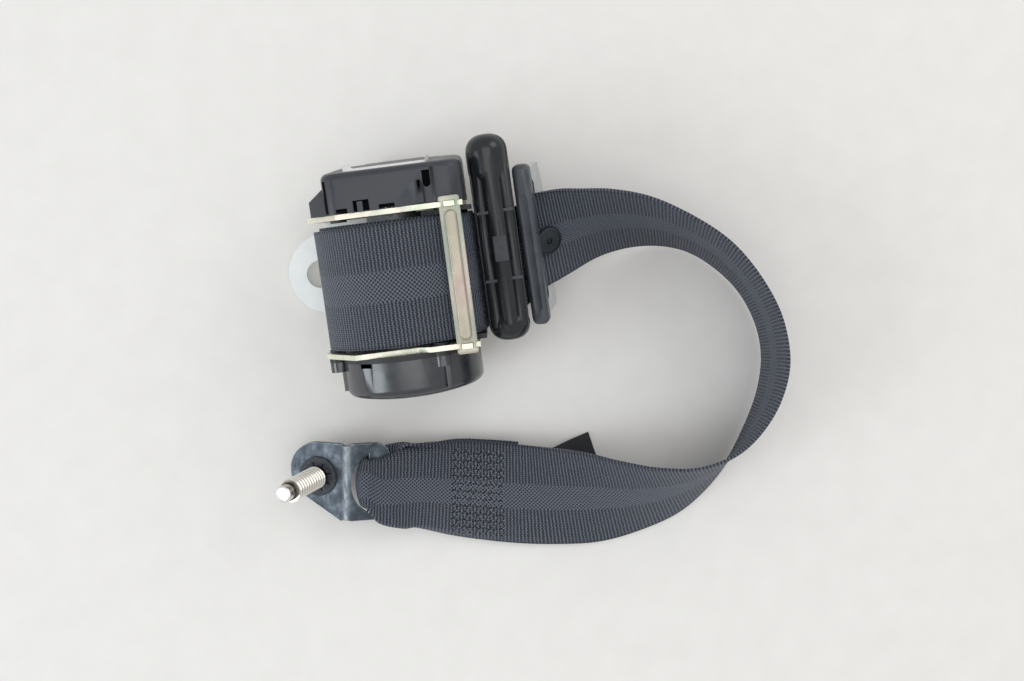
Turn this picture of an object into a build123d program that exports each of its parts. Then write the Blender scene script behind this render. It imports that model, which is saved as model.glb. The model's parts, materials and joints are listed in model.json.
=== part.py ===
from build123d import *
import math
import os

# Front seat belt with its retractor, lying on a flat surface as it is stored.
# Lengths are in millimetres and angles in degrees.
# World frame: +Z up, the surface is Z = 0.
# Retractor frame: x to the right across the spool, y along the spool, z up.

# Webbing
web_width = 47.0
web_thickness = 1.2
layer_gap = 0.3
tail_gap = 0.8

# Where the retractor lies and how it leans on its sensor pod
retractor_middle = (-44.6, 25.3)
retractor_yaw = 7.2
retractor_tilt = 7.0

# Retractor frame, a steel U
sheet = 2.0
frame_inner = 52.5
frame_left = -34.0
frame_right = 29.0
base_drop = 37.0
cheek_top = 24.0
tab_centre = (-35.0, 4.5)
tab_radius = 17.4
bolt_hole = (-38.5, 4.5)
bolt_hole_radius = 6.1

# Tie bar across the top of the frame
bar_x = 24.0
bar_width = 8.0
bar_under = 27.6
bar_thickness = 1.8
bar_overhang = 2.0
ear_width = 4.2
ear_above_bar = 1.0
bar_rib_radius = 1.6

# Spool and what turns with it
roll_radius = 31.4
spool_radius = 11.0
spool_end_gap = 0.4
spool_journal = 8.0
torsion_radius = 4.0
running_gap = 0.05
web_pin_radius = 1.6
web_pin_x = 7.2
tooth_count = 24
tooth_phase = 9.3
wheel_radius = 20.0
wheel_root = 17.4
wheel_thickness = 4.0
lock_gear_radius = 19.0
lock_gear_root = 17.2
lock_gear_thickness = 2.5
mech_hole_radius = 23.0
spring_hole_radius = 14.0

# Lock pawl
pawl_pivot = (-16.5, -24.5)
pawl_tip = (-20.6, -7.0)
pawl_pin_radius = 2.0
pawl_thickness = 2.1

# Mechanism cover with the sensor pod under it
cover_wall = 1.8
mech_depth = 16.6
mech_left = -24.0
mech_right = 30.0
mech_top = 26.0
mech_bottom = -34.0
mech_draft = 6.0
pod_half_width = 13.0
corner_radius = 6.0

# Spring cover
spring_radius = 28.0
spring_wall = 1.6
spring_depth = 16.5
spring_back = 2.0
spring_pitch = 1.3
spring_strip = 0.4
spring_turns = 7
spring_core_radius = 7.0

# Vehicle sensor in the pod
ball_radius = 4.5
sensor_y = 36.5
cup_wall = 1.5
cup_height = 6.0
lever_thickness = 1.4
lever_pin = (-9.2, -30.2)

# Push pins that hold the covers to the frame
push_pin_radius = 2.0
push_pin_head = 3.2
spring_pins = [(-29.6, 3.0), (13.7, 22.6), (20.0, -22.2)]
mech_pins = [(-19.5, 19.5), (20.5, -29.0), (20.5, 17.0)]

# Web guide at the mouth of the retractor
guide_arm = 1.8
guide_back = 25.0
guide_front = 31.6
guide_top = 20.0
guide_bar_low = -30.0
guide_bar_high = -26.0

# Pillar loop, standing on its eye
loop_place = (-5.5, 40.5, 52.5)
loop_yaw = 7.7
loop_tilt = 8.0
loop_half_length = 40.5
loop_end_radius = 8.0
loop_top = 6.5
loop_bar_width = 16.0
loop_body_width = 9.0
loop_eye_drop = 38.0
loop_eye_radius = 14.0
loop_eye_bore = 6.2
loop_slot_half = 35.5
loop_slot_low_half = 31.5
loop_slot_top = -8.0
loop_slot_height = 13.0
loop_core = 3.0
loop_cover_margin = 2.0

# Latch tongue
tongue_place = (7.95, 38.4, 45.0)
tongue_yaw = 8.5
tongue_tilt = 15.0
tongue_pitch = 73.0
tongue_sheet = 2.4
tongue_half_length = 30.5
tongue_outer = -3.0
tongue_shoulder = 26.0
tongue_slot = (3.4, 11.9)
tongue_slot_half = 25.0
blade_half_width = 12.0
blade_end = 43.5
latch_window = (30.5, 39.5)
latch_window_half = 6.5
grip_half_length = 32.7
grip_width = 7.3
grip_depth = 7.0

# Stop button
button_radius = 6.7
button_back_radius = 4.0
button_height = 1.8
button_stem = 1.5
button_gap = 0.9

# Anchor plate with its bolt
anchor_crease = (-71.0, -61.3, 17.6)
anchor_yaw = -2.0
anchor_roll = 8.5
anchor_left_fall = 17.5
anchor_right_fall = 20.0
anchor_sheet = 3.0
anchor_width = 34.0
anchor_end = 19.0
anchor_eye = (-13.0, 2.0)
anchor_eye_rise = 1.8
anchor_eye_radius = 12.8
anchor_slot = (2.4, 8.6)
anchor_slot_length = 27.0
anchor_slot_shift = -1.0
slot_web_width = 23.0
bolt_radius = 4.9
bolt_neck_radius = 4.2
bolt_neck_top = 2.2
bolt_reach = 30.5
bolt_point_radius = 3.4
bolt_point_length = 4.0
bolt_head_radius = 9.6
bolt_head_height = 7.6
washer_radius = 8.6
washer_thickness = 1.2

# Blank sewn-in tab
tab_width = 20.0
tab_thickness = 0.5
tab_free_end = (37.0, -50.0, 0.4)
tab_yaw = 19.0
tab_station = 21
tab_off_centre = 9.0

# Free webbing, one pair of edge points for each station: upper edge, then floor edge.
# The first pairs pass the pillar loop, the tongue and the button.
web_stations = [
    ((-14.1, 46.5, 45.8), (-8.7, 7.2, 40.2)),
    ((-11.0, 47.8, 43.5), (-5.6, 8.2, 37.9)),
    ((-6.3, 49.6, 42.4), (-0.9, 9.4, 36.7)),
    ((1.4, 54.3, 43.5), (7.0, 15.4, 34.8)),
    ((6.8, 58.3, 46.0), (13.4, 21.9, 32.6)),
    ((12.4, 59.3, 48.2), (20.0, 26.0, 26.2)),
    ((25.0, 60.0, 50.0), (34.0, 35.0, 12.0)),
    ((39.2, 60.3, 47.0), (48.4, 40.7, 5.0)),
    ((55.5, 57.5, 45.5), (63.5, 42.5, 1.4)),
    ((71.4, 50.3, 46.2), (76.8, 40.2, 0.9)),
    ((88.0, 39.0, 46.9), (91.0, 31.8, 0.8)),
    ((100.4, 23.8, 47.3), (102.0, 20.2, 0.8)),
    ((108.7, 6.2, 47.4), (109.5, 3.8, 0.8)),
    ((110.7, -9.8, 47.5), (111.0, -9.5, 0.8)),
    ((107.5, -23.5, 47.4), (109.0, -22.5, 0.8)),
    ((99.2, -37.4, 47.3), (103.5, -37.5, 0.8)),
    ((89.3, -46.3, 46.6), (96.4, -51.7, 0.8)),
    ((75.7, -51.7, 44.4), (87.5, -63.7, 0.8)),
    ((60.3, -52.4, 39.0), (74.6, -75.3, 0.8)),
    ((44.8, -50.4, 31.4), (56.8, -83.7, 0.8)),
    ((28.9, -47.4, 21.0), (37.7, -89.0, 0.9)),
    ((15.0, -46.4, 14.2), (20.5, -90.1, 1.5)),
    ((2.5, -45.5, 10.8), (3.5, -89.6, 2.6)),
    ((-12.0, -44.7, 10.0), (-12.5, -88.0, 3.6)),
    ((-25.0, -44.6, 10.6), (-26.5, -86.0, 4.6)),
    ((-38.0, -45.8, 12.0), (-40.5, -83.0, 6.6)),
]
tail_stations = 4
button_station = 5

# Values that follow from the ones above
half_inner = frame_inner / 2
half_outer = half_inner + sheet
tilt_sine = math.sin(math.radians(retractor_tilt))
tilt_cosine = math.cos(math.radians(retractor_tilt))
retractor_height = base_drop * tilt_cosine + half_outer * tilt_sine
pod_bottom = -(retractor_height + half_outer * tilt_sine) / tilt_cosine
bar_top = bar_under + bar_thickness
spool_half = half_inner - spool_end_gap
wheel_start = spool_half + 0.8
wheel_stop = wheel_start + wheel_thickness
lock_gear_start = wheel_stop + 0.5
lock_gear_stop = lock_gear_start + lock_gear_thickness
carrier_start = lock_gear_stop + 0.5
carrier_thickness = 2.0
mech_end = half_outer + mech_depth
spring_end = half_outer + spring_depth
spring_floor = half_outer + spring_back


def slab(face, low, high):
    """A flat face drawn in x and z, thickened along y from low to high."""
    return extrude(Plane.XZ.offset(-high) * face, high - low)


def rod(radius, low, high, x=0.0, z=0.0):
    return slab(Pos(x, z) * Circle(radius), low, high)


def block(x_low, x_high, y_low, y_high, z_low, z_high):
    centre = ((x_low + x_high) / 2, (y_low + y_high) / 2, (z_low + z_high) / 2)
    return Pos(*centre) * Box(x_high - x_low, y_high - y_low, z_high - z_low)


def outline(points):
    return make_face(Polyline(*points, close=True))


def in_retractor(shape):
    place = Pos(*retractor_middle, retractor_height) * Rot(0, 0, retractor_yaw) * Rot(retractor_tilt, 0, 0)
    return place * shape


def in_loop(shape):
    return Pos(*loop_place) * Rot(0, 0, loop_yaw) * Rot(loop_tilt, 0, 0) * shape


def in_tongue(shape):
    turned = Rot(0, 0, tongue_yaw) * Rot(tongue_tilt, 0, 0) * Rot(0, tongue_pitch, 0)
    return Pos(*tongue_place) * turned * shape


def in_anchor(fall, shape):
    turned = Rot(0, 0, anchor_yaw) * Rot(anchor_roll, 0, 0) * Rot(0, fall, 0)
    return Pos(*anchor_crease) * turned * shape


# Frame, as its base with the bolt tab and its two bent-up cheeks
def frame_base():
    base = block(frame_left, frame_right, -half_inner, half_inner, -base_drop, sheet - base_drop)
    tab_plate = Pos(0, 0, -base_drop) * extrude(Pos(*tab_centre) * Circle(tab_radius), sheet)
    hole = Pos(*bolt_hole, -base_drop) * Cylinder(bolt_hole_radius, 3 * sheet)
    return base + tab_plate - hole


def cheek(low, high):
    cheek_face = outline(
        [
            (frame_left, -base_drop),
            (frame_right, -base_drop),
            (frame_right, 13.0),
            (bar_x + bar_width / 2 + 1.0, bar_under),
            (10.0, bar_under),
            (5.0, cheek_top),
            (-20.0, cheek_top),
            (frame_left, 6.0),
        ]
    )
    ear_half = ear_width / 2
    ear = block(bar_x - ear_half, bar_x + ear_half, low, high, bar_under, bar_top + ear_above_bar)
    return slab(cheek_face, low, high) + ear


def mechanism_cheek():
    body = cheek(half_inner, half_outer) - rod(mech_hole_radius, half_inner, half_outer)
    for x, z in mech_pins:
        body -= rod(push_pin_radius + running_gap, half_inner, half_outer, x, z)
    return body - rod(pawl_pin_radius, half_inner, half_outer, *pawl_pivot)


def spring_cheek():
    body = cheek(-half_outer, -half_inner) - rod(spring_hole_radius, -half_outer, -half_inner)
    for x, z in spring_pins:
        body -= rod(push_pin_radius + running_gap, -half_outer, -half_inner, x, z)
    return body


def tie_bar():
    half = half_outer + bar_overhang
    bar = block(bar_x - bar_width / 2, bar_x + bar_width / 2, -half, half, bar_under, bar_top)
    rib_half = half_inner - 4.0
    bar += rod(bar_rib_radius, -rib_half, rib_half, bar_x, bar_top - 0.4)
    hollow_radius = bar_rib_radius - 0.8
    bar -= rod(hollow_radius, -rib_half + 1.0, rib_half - 1.0, bar_x, bar_under)
    ear_half = ear_width / 2 + running_gap
    for side in (-1, 1):
        low, high = sorted((side * (half_inner - running_gap), side * (half_outer + running_gap)))
        bar -= block(bar_x - ear_half, bar_x + ear_half, low, high, bar_under - 1, bar_top + 2)
    return bar


def web_guide():
    """A U that hugs the inside of the cheeks and passes under the roll."""
    reach = half_inner - 0.1
    body = block(guide_back, guide_back + 4.0, -reach, reach, guide_bar_low, guide_bar_high)
    for side in (-1, 1):
        low, high = sorted((side * (reach - guide_arm), side * reach))
        body += block(guide_back, guide_back + 4.0, low, high, guide_bar_low, 0)
        body += block(guide_back, guide_front, low, high, -2.0, guide_top)
    return body


# Spool and what turns with it
def spool():
    drum = rod(spool_radius, -spool_half, spool_half)
    drum += rod(spool_journal, -spring_floor - 0.2, -spool_half)
    drum += rod(9.0, spool_half, wheel_start)
    drum -= rod(torsion_radius, -spring_floor - 1, wheel_start + 1)
    drum -= rod(web_pin_radius + 0.4, -web_width / 2, web_width / 2, web_pin_x, 0)
    drum -= block(web_pin_x, spool_radius + 1, -web_width / 2, web_width / 2, -0.8, 0.8)
    return drum


def web_pin():
    half = web_width / 2 - 0.5
    return rod(web_pin_radius, -half, half, web_pin_x, 0)


def torsion_bar():
    stop = carrier_start + carrier_thickness
    return rod(torsion_radius - running_gap, -spring_end + spring_wall + 1.0, stop)


def webbing_roll():
    half = web_width / 2
    return rod(roll_radius, -half, half) - rod(spool_radius + layer_gap, -half - 1, half + 1)


def saw_teeth(outer, root, lean):
    """Outline of a toothed wheel; lean is how far round the tip stands, from 0 to 1."""
    points = []
    for tooth in range(tooth_count):
        for radius, share in ((root, 0.0), (outer, lean), (outer, lean + 0.12)):
            turn = math.radians((tooth + share) * 360 / tooth_count + tooth_phase)
            points.append((radius * math.cos(turn), radius * math.sin(turn)))
    return outline(points)


def ratchet_wheel():
    wheel = slab(saw_teeth(wheel_radius, wheel_root, 0.45), wheel_start, wheel_stop)
    return wheel - rod(torsion_radius, wheel_start - 1, wheel_stop + 1)


def lock_gear():
    gear = slab(saw_teeth(lock_gear_radius, lock_gear_root, 0.4), lock_gear_start, lock_gear_stop)
    gear += rod(8.0, wheel_stop + running_gap, lock_gear_start)
    return gear - rod(torsion_radius, wheel_stop - 1, lock_gear_stop + 1)


# Lock pawl on its pin
def pawl_level():
    low = half_outer + 0.15
    return low, low + pawl_thickness


def lock_pawl():
    low, high = pawl_level()
    x, z = pawl_pivot
    tip_x, tip_z = pawl_tip
    tip = [(tip_x + 1.6, tip_z - 3), (tip_x + 0.6, tip_z), (tip_x - 1.2, tip_z - 2)]
    arm = outline([(x - 4.0, z + 1), (x + 4.0, z + 1)] + tip)
    body = slab(arm, low, high) + rod(4.2, low, high, x, z)
    return body - rod(pawl_pin_radius + running_gap, low - 1, high + 1, x, z)


def pawl_pin():
    low, high = pawl_level()
    x, z = pawl_pivot
    pin = rod(pawl_pin_radius, half_inner + 0.2, high + 0.2, x, z)
    return pin + rod(pawl_pin_radius + 1.2, high + 0.1, high + 1.0, x, z)


# Mechanism side
def cover_outline(inset):
    left, right = mech_left + inset, mech_right - inset
    low, high = mech_bottom + inset, mech_top - inset
    radius = corner_radius - inset
    width, height = right - left, high - low
    main = Pos((left + right) / 2, (low + high) / 2) * RectangleRounded(width, height, radius)
    foot_half = pod_half_width - inset
    foot_low = pod_bottom + inset
    foot = Pos(0, (foot_low + mech_bottom) / 2 + 4) * Rectangle(2 * foot_half, mech_bottom - foot_low + 8)
    return main + foot


def draft_cut(depth):
    """Everything beyond the leaning end face of the mechanism cover."""
    far = Pos(0, 50, 0) * Box(160, 100, 200)
    return Pos(0, depth, mech_top) * Rot(mech_draft, 0, 0) * far


def mechanism_cover():
    start = half_outer + 0.05
    reach = mech_end + 12.0
    body = slab(cover_outline(0), start, reach) - draft_cut(mech_end)
    hollow = slab(cover_outline(cover_wall), start - 1, reach) - draft_cut(mech_end - cover_wall)
    body -= hollow
    for x, z in mech_pins:
        wall = mech_right if x > 0 else mech_left
        body += rod(push_pin_radius + 2.0, start, start + 5.6, x, z)
        body += block(min(x, wall) + 0.5, max(x, wall) - 0.5, start, start + 5.6, z - 1.2, z + 1.2)
        body -= rod(push_pin_radius, start - 1, start + 4.8, x, z)
    gusset = outline([(mech_left, 4.0), (mech_left - 6.5, -4.0), (mech_left - 6.5, -14.0), (mech_left, -22.0)])
    body += slab(gusset, start, start + 3.0)
    return body


def blank_label():
    centre_x = (mech_left + mech_right) / 2 - 3.0
    sticker = Pos(centre_x, 0.1, -14.5) * Box(42.0, 0.2, 25.0)
    return Pos(0, mech_end, mech_top) * Rot(mech_draft, 0, 0) * sticker


def bearing_carrier():
    radius = 24.5
    stop = mech_end - cover_wall - 0.3
    disc = rod(radius, carrier_start, carrier_start + carrier_thickness)
    rim = rod(radius, carrier_start, stop, 0, 0) - rod(radius - 1.6, carrier_start - 1, stop + 1)
    keep = block(-60, 60, 0, 100, mech_bottom + 8.0, mech_top - cover_wall - 0.2)
    keep = keep & block(mech_left + cover_wall + 0.2, mech_right - cover_wall - 0.2, 0, 100, -60, 60)
    body = (disc + rim) & keep
    return body - rod(torsion_radius, carrier_start - 1, stop)


# Vehicle sensor
def cup_floor():
    return pod_bottom + cover_wall


def sensor_cup():
    low = cup_floor()
    half = 7.6
    body = block(-half - 3.4, half, sensor_y - half, sensor_y + half, low, low + cup_height)
    well = Pos(0, sensor_y, low + cup_wall + cup_height) * Cylinder(ball_radius + 1.6, 2 * cup_height)
    post_x, post_z = lever_pin
    for side in (-1, 1):
        y_low, y_high = sorted((sensor_y + side * 4.2, sensor_y + side * 6.2))
        body += block(post_x - 1.4, post_x + 1.4, y_low, y_high, low + cup_height, post_z + 2.0)
    body -= rod(1.0, sensor_y - 7, sensor_y + 7, post_x, post_z)
    return body - well


def ball_centre():
    return cup_floor() + cup_wall + ball_radius


def sensor_ball():
    return Pos(0, sensor_y, ball_centre()) * Sphere(ball_radius)


def sensor_lever():
    x, z = lever_pin
    top = ball_centre() + ball_radius + 0.15
    plate = block(x, 7.0, sensor_y - 3.6, sensor_y + 3.6, top, top + lever_thickness)
    hub = rod(2.2, sensor_y - 4.0, sensor_y + 4.0, x, z)
    neck = block(x - 1.2, x + 1.2, sensor_y - 3.6, sensor_y + 3.6, top, z)
    gear_mid = (lock_gear_start + lock_gear_stop) / 2
    arm = block(3.4, 6.0, gear_mid - 1.0, sensor_y, top + 0.5, top + lever_thickness)
    finger = block(4.2, 5.4, gear_mid - 1.0, gear_mid + 1.0, top + 0.5, -lock_gear_radius - 2.6)
    body = plate + hub + neck + arm + finger
    return body - rod(1.05, sensor_y - 7, sensor_y + 7, x, z)


def lever_axle():
    x, z = lever_pin
    return rod(1.0, sensor_y - 6.2, sensor_y + 6.2, x, z)


# Spring side
def spring_backplate():
    plate = rod(spring_radius, -spring_floor, -half_outer)
    plate -= rod(spool_journal + running_gap, -spring_floor - 1, -half_outer + 1)
    for x, z in spring_pins:
        plate += rod(push_pin_radius + 1.8, -spring_floor, -half_outer, x, z)
        plate -= rod(push_pin_radius + running_gap, -spring_floor - 1, -half_outer + 1, x, z)
    return plate


def spring_cover():
    low, high = -spring_end, -spring_floor - 0.05
    body = rod(spring_radius, low, high)
    body = fillet(body.edges().group_by(Axis.Y)[0], 4.0)
    body -= rod(spring_radius - spring_wall, low + spring_wall, high + 1)
    rib_length = spring_depth - spring_back - 1.0
    for x, z in spring_pins:
        boss = rod(push_pin_radius + 1.8, high - 4.0, high, x, z)
        body += boss - rod(spring_radius - spring_wall, low, high + 1)
        turn = math.degrees(math.atan2(z, x))
        rib = Rot(0, -turn, 0) * block(spring_radius - 1.0, spring_radius + 1.2, low + 4.5, low + rib_length, -0.9, 0.9)
        body += rib
        body -= rod(push_pin_radius, high - 3.0, high + 1, x, z)
    return body


def spring_core():
    body = rod(spring_core_radius, -spring_end + spring_wall + 1.4, -spring_floor - 0.4)
    return body - rod(torsion_radius, -spring_end, -spring_floor)


def spiral_spring():
    """Half turns about two centres, each half turn one half pitch larger."""
    half_strip = spring_strip / 2
    first = spring_core_radius + 0.2 + half_strip
    offset = spring_pitch / 4
    outer, inner = [], []
    for step in range(2 * spring_turns):
        side = 1 if step % 2 == 0 else -1
        radius = first + offset + step * spring_pitch / 2
        centre = -side * offset
        for radii, edges in ((radius + half_strip, outer), (radius - half_strip, inner)):
            start = (centre + side * radii, 0)
            middle = (centre, side * radii)
            stop = (centre - side * radii, 0)
            edges.append(ThreePointArc(start, middle, stop))
    ends = [Line(inner[0] @ 0, outer[0] @ 0), Line(inner[-1] @ 1, outer[-1] @ 1)]
    strip = make_face(Wire(outer + inner + ends))
    return slab(strip, -spring_end + spring_wall + 1.6, -spring_floor - 0.8)


# Push pins
def push_pins():
    pins = []
    for x, z in mech_pins:
        pin = rod(push_pin_radius - running_gap, half_inner - 1.0, half_outer + 4.6, x, z)
        pins.append(pin + rod(push_pin_head, half_inner - 1.1, half_inner - 0.05, x, z))
    for x, z in spring_pins:
        pin = rod(push_pin_radius - running_gap, -spring_floor - 2.8, -half_inner + 1.0, x, z)
        pins.append(pin + rod(push_pin_head, -half_inner + 0.05, -half_inner + 1.1, x, z))
    return pins


# Pillar loop
def loop_outline(inset):
    radius = loop_end_radius - inset
    middle = loop_top - loop_end_radius
    reach = loop_half_length - loop_end_radius
    circles = [
        Pos(-reach, middle) * Circle(radius),
        Pos(reach, middle) * Circle(radius),
        Pos(-reach + 6.0, middle - 17.0) * Circle(radius + 2.0),
        Pos(reach - 6.0, middle - 17.0) * Circle(radius + 2.0),
        Pos(0, -loop_eye_drop) * Circle(loop_eye_radius - inset),
    ]
    return make_hull([edge for circle in circles for edge in circle.edges()])


def loop_slot(grow):
    top, low = loop_slot_top + grow, loop_slot_top - loop_slot_height - grow
    wide, narrow = loop_slot_half + grow, loop_slot_low_half + grow
    face = outline([(-wide, top), (wide, top), (narrow, low), (-narrow, low)])
    return fillet(face.vertices(), 3.0 + grow)


def across(face, half_width):
    """A face drawn along the loop and up, thickened both ways across it."""
    return extrude(Plane.YZ * face, half_width, both=True)


def loop_core_plate():
    plate = across(loop_outline(loop_cover_margin), loop_core / 2)
    plate -= across(loop_slot(loop_cover_margin / 2), loop_core)
    return plate - across(Pos(0, -loop_eye_drop) * Circle(loop_eye_bore), loop_core)


def loop_cover():
    body = across(loop_outline(0.5), loop_body_width / 2)
    bar_height = loop_top - loop_slot_top
    section = Pos(0, loop_top - bar_height / 2) * RectangleRounded(loop_bar_width, bar_height, 5.0)
    plan = RectangleRounded(loop_bar_width, 2 * loop_half_length, loop_bar_width / 2 - 0.1)
    bar = slab(section, -loop_half_length, loop_half_length) & across(loop_outline(0), loop_bar_width)
    body = (body + bar) & extrude(plan, 4 * loop_eye_drop, both=True)
    body -= across(loop_slot(0), loop_bar_width)
    body -= across(Pos(0, -loop_eye_drop) * Circle(loop_eye_radius - 3.0), loop_bar_width)
    return body - loop_core_plate()


# Latch tongue
def tongue_outline(grow):
    half, blade = tongue_half_length + grow, blade_half_width
    shoulder = tongue_shoulder
    points = [
        (tongue_outer, -half),
        (shoulder - 4.0, -half),
        (shoulder, -blade - 6.0),
        (shoulder + 2.0, -blade),
        (blade_end - 3.0, -blade),
        (blade_end, -blade + 3.0),
    ]
    mirrored = [(x, -y) for x, y in reversed(points)]
    return outline(points + mirrored)


def tongue_plate():
    body = extrude(tongue_outline(0), tongue_sheet / 2, both=True)
    slot_length = tongue_slot[1] - tongue_slot[0]
    slot = Pos(sum(tongue_slot) / 2, 0) * RectangleRounded(slot_length, 2 * tongue_slot_half, 2.5)
    window_length = latch_window[1] - latch_window[0]
    window = Pos(sum(latch_window) / 2, 0) * RectangleRounded(window_length, 2 * latch_window_half, 2.0)
    return body - extrude(slot + window, tongue_sheet, both=True)


def tongue_grip():
    bar = Box(grip_width, 2 * grip_half_length, grip_depth)
    bar = fillet(bar.edges(), 2.4)
    bar = Pos(tongue_slot[0] - grip_width / 2 - 0.1, 0, 0) * bar
    return bar - tongue_plate()


# Free webbing
def roll_stations():
    """Where the webbing leaves the roll, at the end angles above the roll's centre line."""
    radius = roll_radius + layer_gap + web_thickness / 2
    pairs = []
    for angle in (50.0, 40.0, 30.0, 20.0, 12.0):
        x = radius * math.cos(math.radians(angle))
        z = radius * math.sin(math.radians(angle))
        ends = [in_retractor(Pos(x, side * web_width / 2, z)).position for side in (1, -1)]
        pairs.append(tuple(ends))
    return pairs


def station_frames(pairs):
    frames = []
    points = [(Vector(*upper), Vector(*lower)) for upper, lower in pairs]
    centres = [(upper + lower) * 0.5 for upper, lower in points]
    last = len(centres) - 1
    for index, (upper, lower) in enumerate(points):
        onward = (centres[min(index + 1, last)] - centres[max(index - 1, 0)]).normalized()
        side = upper - lower
        normal = side.cross(onward).normalized()
        frames.append((centres[index], side.normalized(), normal, side.length))
    return frames


def refined(pairs):
    """The same edge points with one more pair halfway along each smooth stretch."""
    finer = []
    last = len(pairs) - 1
    for index in range(last):
        before, after = pairs[max(index - 1, 0)], pairs[min(index + 2, last)]
        finer.append(pairs[index])
        finer.append(tuple(halfway(*four) for four in zip(before, pairs[index], pairs[index + 1], after)))
    return finer + [pairs[last]]


def halfway(before, start, stop, after):
    return tuple((9 * (b + c) - a - d) / 16 for a, b, c, d in zip(before, start, stop, after))


def strip_section(centre, side, normal, width, thickness=web_thickness):
    half_width, half_thick = width / 2, thickness / 2
    corners = [(1, 1), (1, -1), (-1, -1), (-1, 1)]
    points = [centre + side * (a * half_width) + normal * (b * half_thick) for a, b in corners]
    return Face(Wire.make_polygon(points, close=True))


def leg_frame(level, x):
    """Section of the webbing where it leaves the anchor bar above or below the plate."""
    place = in_anchor(anchor_right_fall, Location((x, anchor_slot_shift, level)))
    plane = Plane(place)
    return plane.origin, plane.y_dir, plane.z_dir, slot_web_width


def leg_levels():
    clear = layer_gap + web_thickness / 2
    return clear, -anchor_sheet - clear


def leg_frames(level):
    return [leg_frame(level, anchor_end + 4.0), leg_frame(level, anchor_end + 1.0)]


def webbing():
    ends = leg_frames(leg_levels()[0])
    frames = station_frames(refined(roll_stations() + web_stations)) + ends
    run = loft([strip_section(*frame) for frame in frames], ruled=True)
    hole = Solid.make_cylinder(button_stem + 0.1, 6.0, button_plane().offset(-3.0))
    return run - hole


def webbing_tail():
    under = web_thickness + tail_gap
    kept = station_frames(refined(web_stations))[1 - 2 * tail_stations :]
    sections = [strip_section(c - n * under, s, n, w) for c, s, n, w in kept]
    ends = leg_frames(leg_levels()[1])
    return loft(sections + [strip_section(*frame) for frame in ends], ruled=True)


def webbing_loop():
    """The turn of the webbing round the bar of the anchor plate."""
    upper_level, lower_level = leg_levels()
    bar_edge = anchor_slot[1]
    half_rise = (upper_level - lower_level) / 2
    middle = (upper_level + lower_level) / 2
    centre = bar_edge - 0.4
    half_thick = web_thickness / 2
    stop = anchor_end + 1.0
    outer, inner = half_rise + half_thick, half_rise - half_thick
    edges = [
        Line((stop, middle + outer), (centre, middle + outer)),
        ThreePointArc((centre, middle + outer), (centre - outer, middle), (centre, middle - outer)),
        Line((centre, middle - outer), (stop, middle - outer)),
        Line((stop, middle - outer), (stop, middle - inner)),
        Line((stop, middle - inner), (centre, middle - inner)),
        ThreePointArc((centre, middle - inner), (centre - inner, middle), (centre, middle + inner)),
        Line((centre, middle + inner), (stop, middle + inner)),
        Line((stop, middle + inner), (stop, middle + outer)),
    ]
    half_width = slot_web_width / 2
    turn = slab(make_face(Wire(edges)), anchor_slot_shift - half_width, anchor_slot_shift + half_width)
    return in_anchor(anchor_right_fall, turn)


# Stop button
def button_plane():
    centre, side, normal, _ = station_frames(web_stations)[button_station]
    return Plane(origin=centre, x_dir=side, z_dir=normal * -1)


def button_front():
    face = button_plane()
    level = web_thickness / 2 + button_gap
    disc = Pos(0, 0, level + button_height / 2) * Cylinder(button_radius, button_height)
    disc = fillet(disc.edges().sort_by(Axis.Z)[-1], 0.8)
    stem = 2 * level + 1.2
    disc += Pos(0, 0, level - stem / 2) * Cylinder(button_stem, stem)
    return face * disc


def button_back():
    face = button_plane()
    level = -web_thickness / 2 - button_gap
    disc = Pos(0, 0, level - 0.6) * Cylinder(button_back_radius, 1.2)
    return face * (disc - Cylinder(button_stem + 0.02, 8.0))


# Anchor
def anchor_plate():
    eye_x, eye_y = anchor_eye
    eye = (Pos(eye_x, eye_y + anchor_eye_rise) * Circle(anchor_eye_radius)).edges()
    crease_line = Pos(-0.5, 0) * Rectangle(1.0, anchor_width)
    left = extrude(make_hull(list(eye) + list(crease_line.edges())), -anchor_sheet)
    right_face = Pos(anchor_end / 2, 0) * Rectangle(anchor_end, anchor_width)
    right_face = fillet(right_face.vertices().group_by(Axis.X)[-1], 6.0)
    slot_width = anchor_slot[1] - anchor_slot[0]
    slot = Pos(sum(anchor_slot) / 2, anchor_slot_shift) * RectangleRounded(slot_width, anchor_slot_length, 2.4)
    right = extrude(right_face - slot, -anchor_sheet)
    left -= Pos(eye_x, eye_y) * Cylinder(bolt_radius + 0.3, 4 * anchor_sheet)
    crease = in_anchor(0, Pos(0, 0, -anchor_sheet / 2) * Box(1.6, anchor_width, anchor_sheet - 0.4))
    return in_anchor(-anchor_left_fall, left) + in_anchor(anchor_right_fall, right) + crease


def on_bolt(shape):
    return in_anchor(-anchor_left_fall, Pos(*anchor_eye, 0) * shape)


def anchor_bolt():
    head_top = -anchor_sheet - 0.1
    head = Pos(0, 0, head_top - bolt_head_height / 2) * extrude(RegularPolygon(8.7, 6), bolt_head_height / 2, both=True)
    flange = Pos(0, 0, head_top - 0.9) * Cylinder(bolt_head_radius, 1.8)
    neck = Pos(0, 0, (head_top + bolt_neck_top) / 2) * Cylinder(bolt_neck_radius, bolt_neck_top - head_top)
    shank_top = bolt_reach - bolt_point_length
    shank = Pos(0, 0, (bolt_neck_top + shank_top) / 2) * Cylinder(bolt_radius, shank_top - bolt_neck_top)
    shank = chamfer(shank.edges().sort_by(Axis.Z)[-1], 0.8)
    point = Pos(0, 0, bolt_reach - bolt_point_length / 2) * Cylinder(bolt_point_radius, bolt_point_length)
    return on_bolt(head + flange + neck + shank + point)


def bolt_retainer():
    ring = Pos(0, 0, 0.1 + washer_thickness / 2) * Cylinder(washer_radius, washer_thickness)
    return on_bolt(ring - Cylinder(bolt_neck_radius + running_gap, 8.0))


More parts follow.
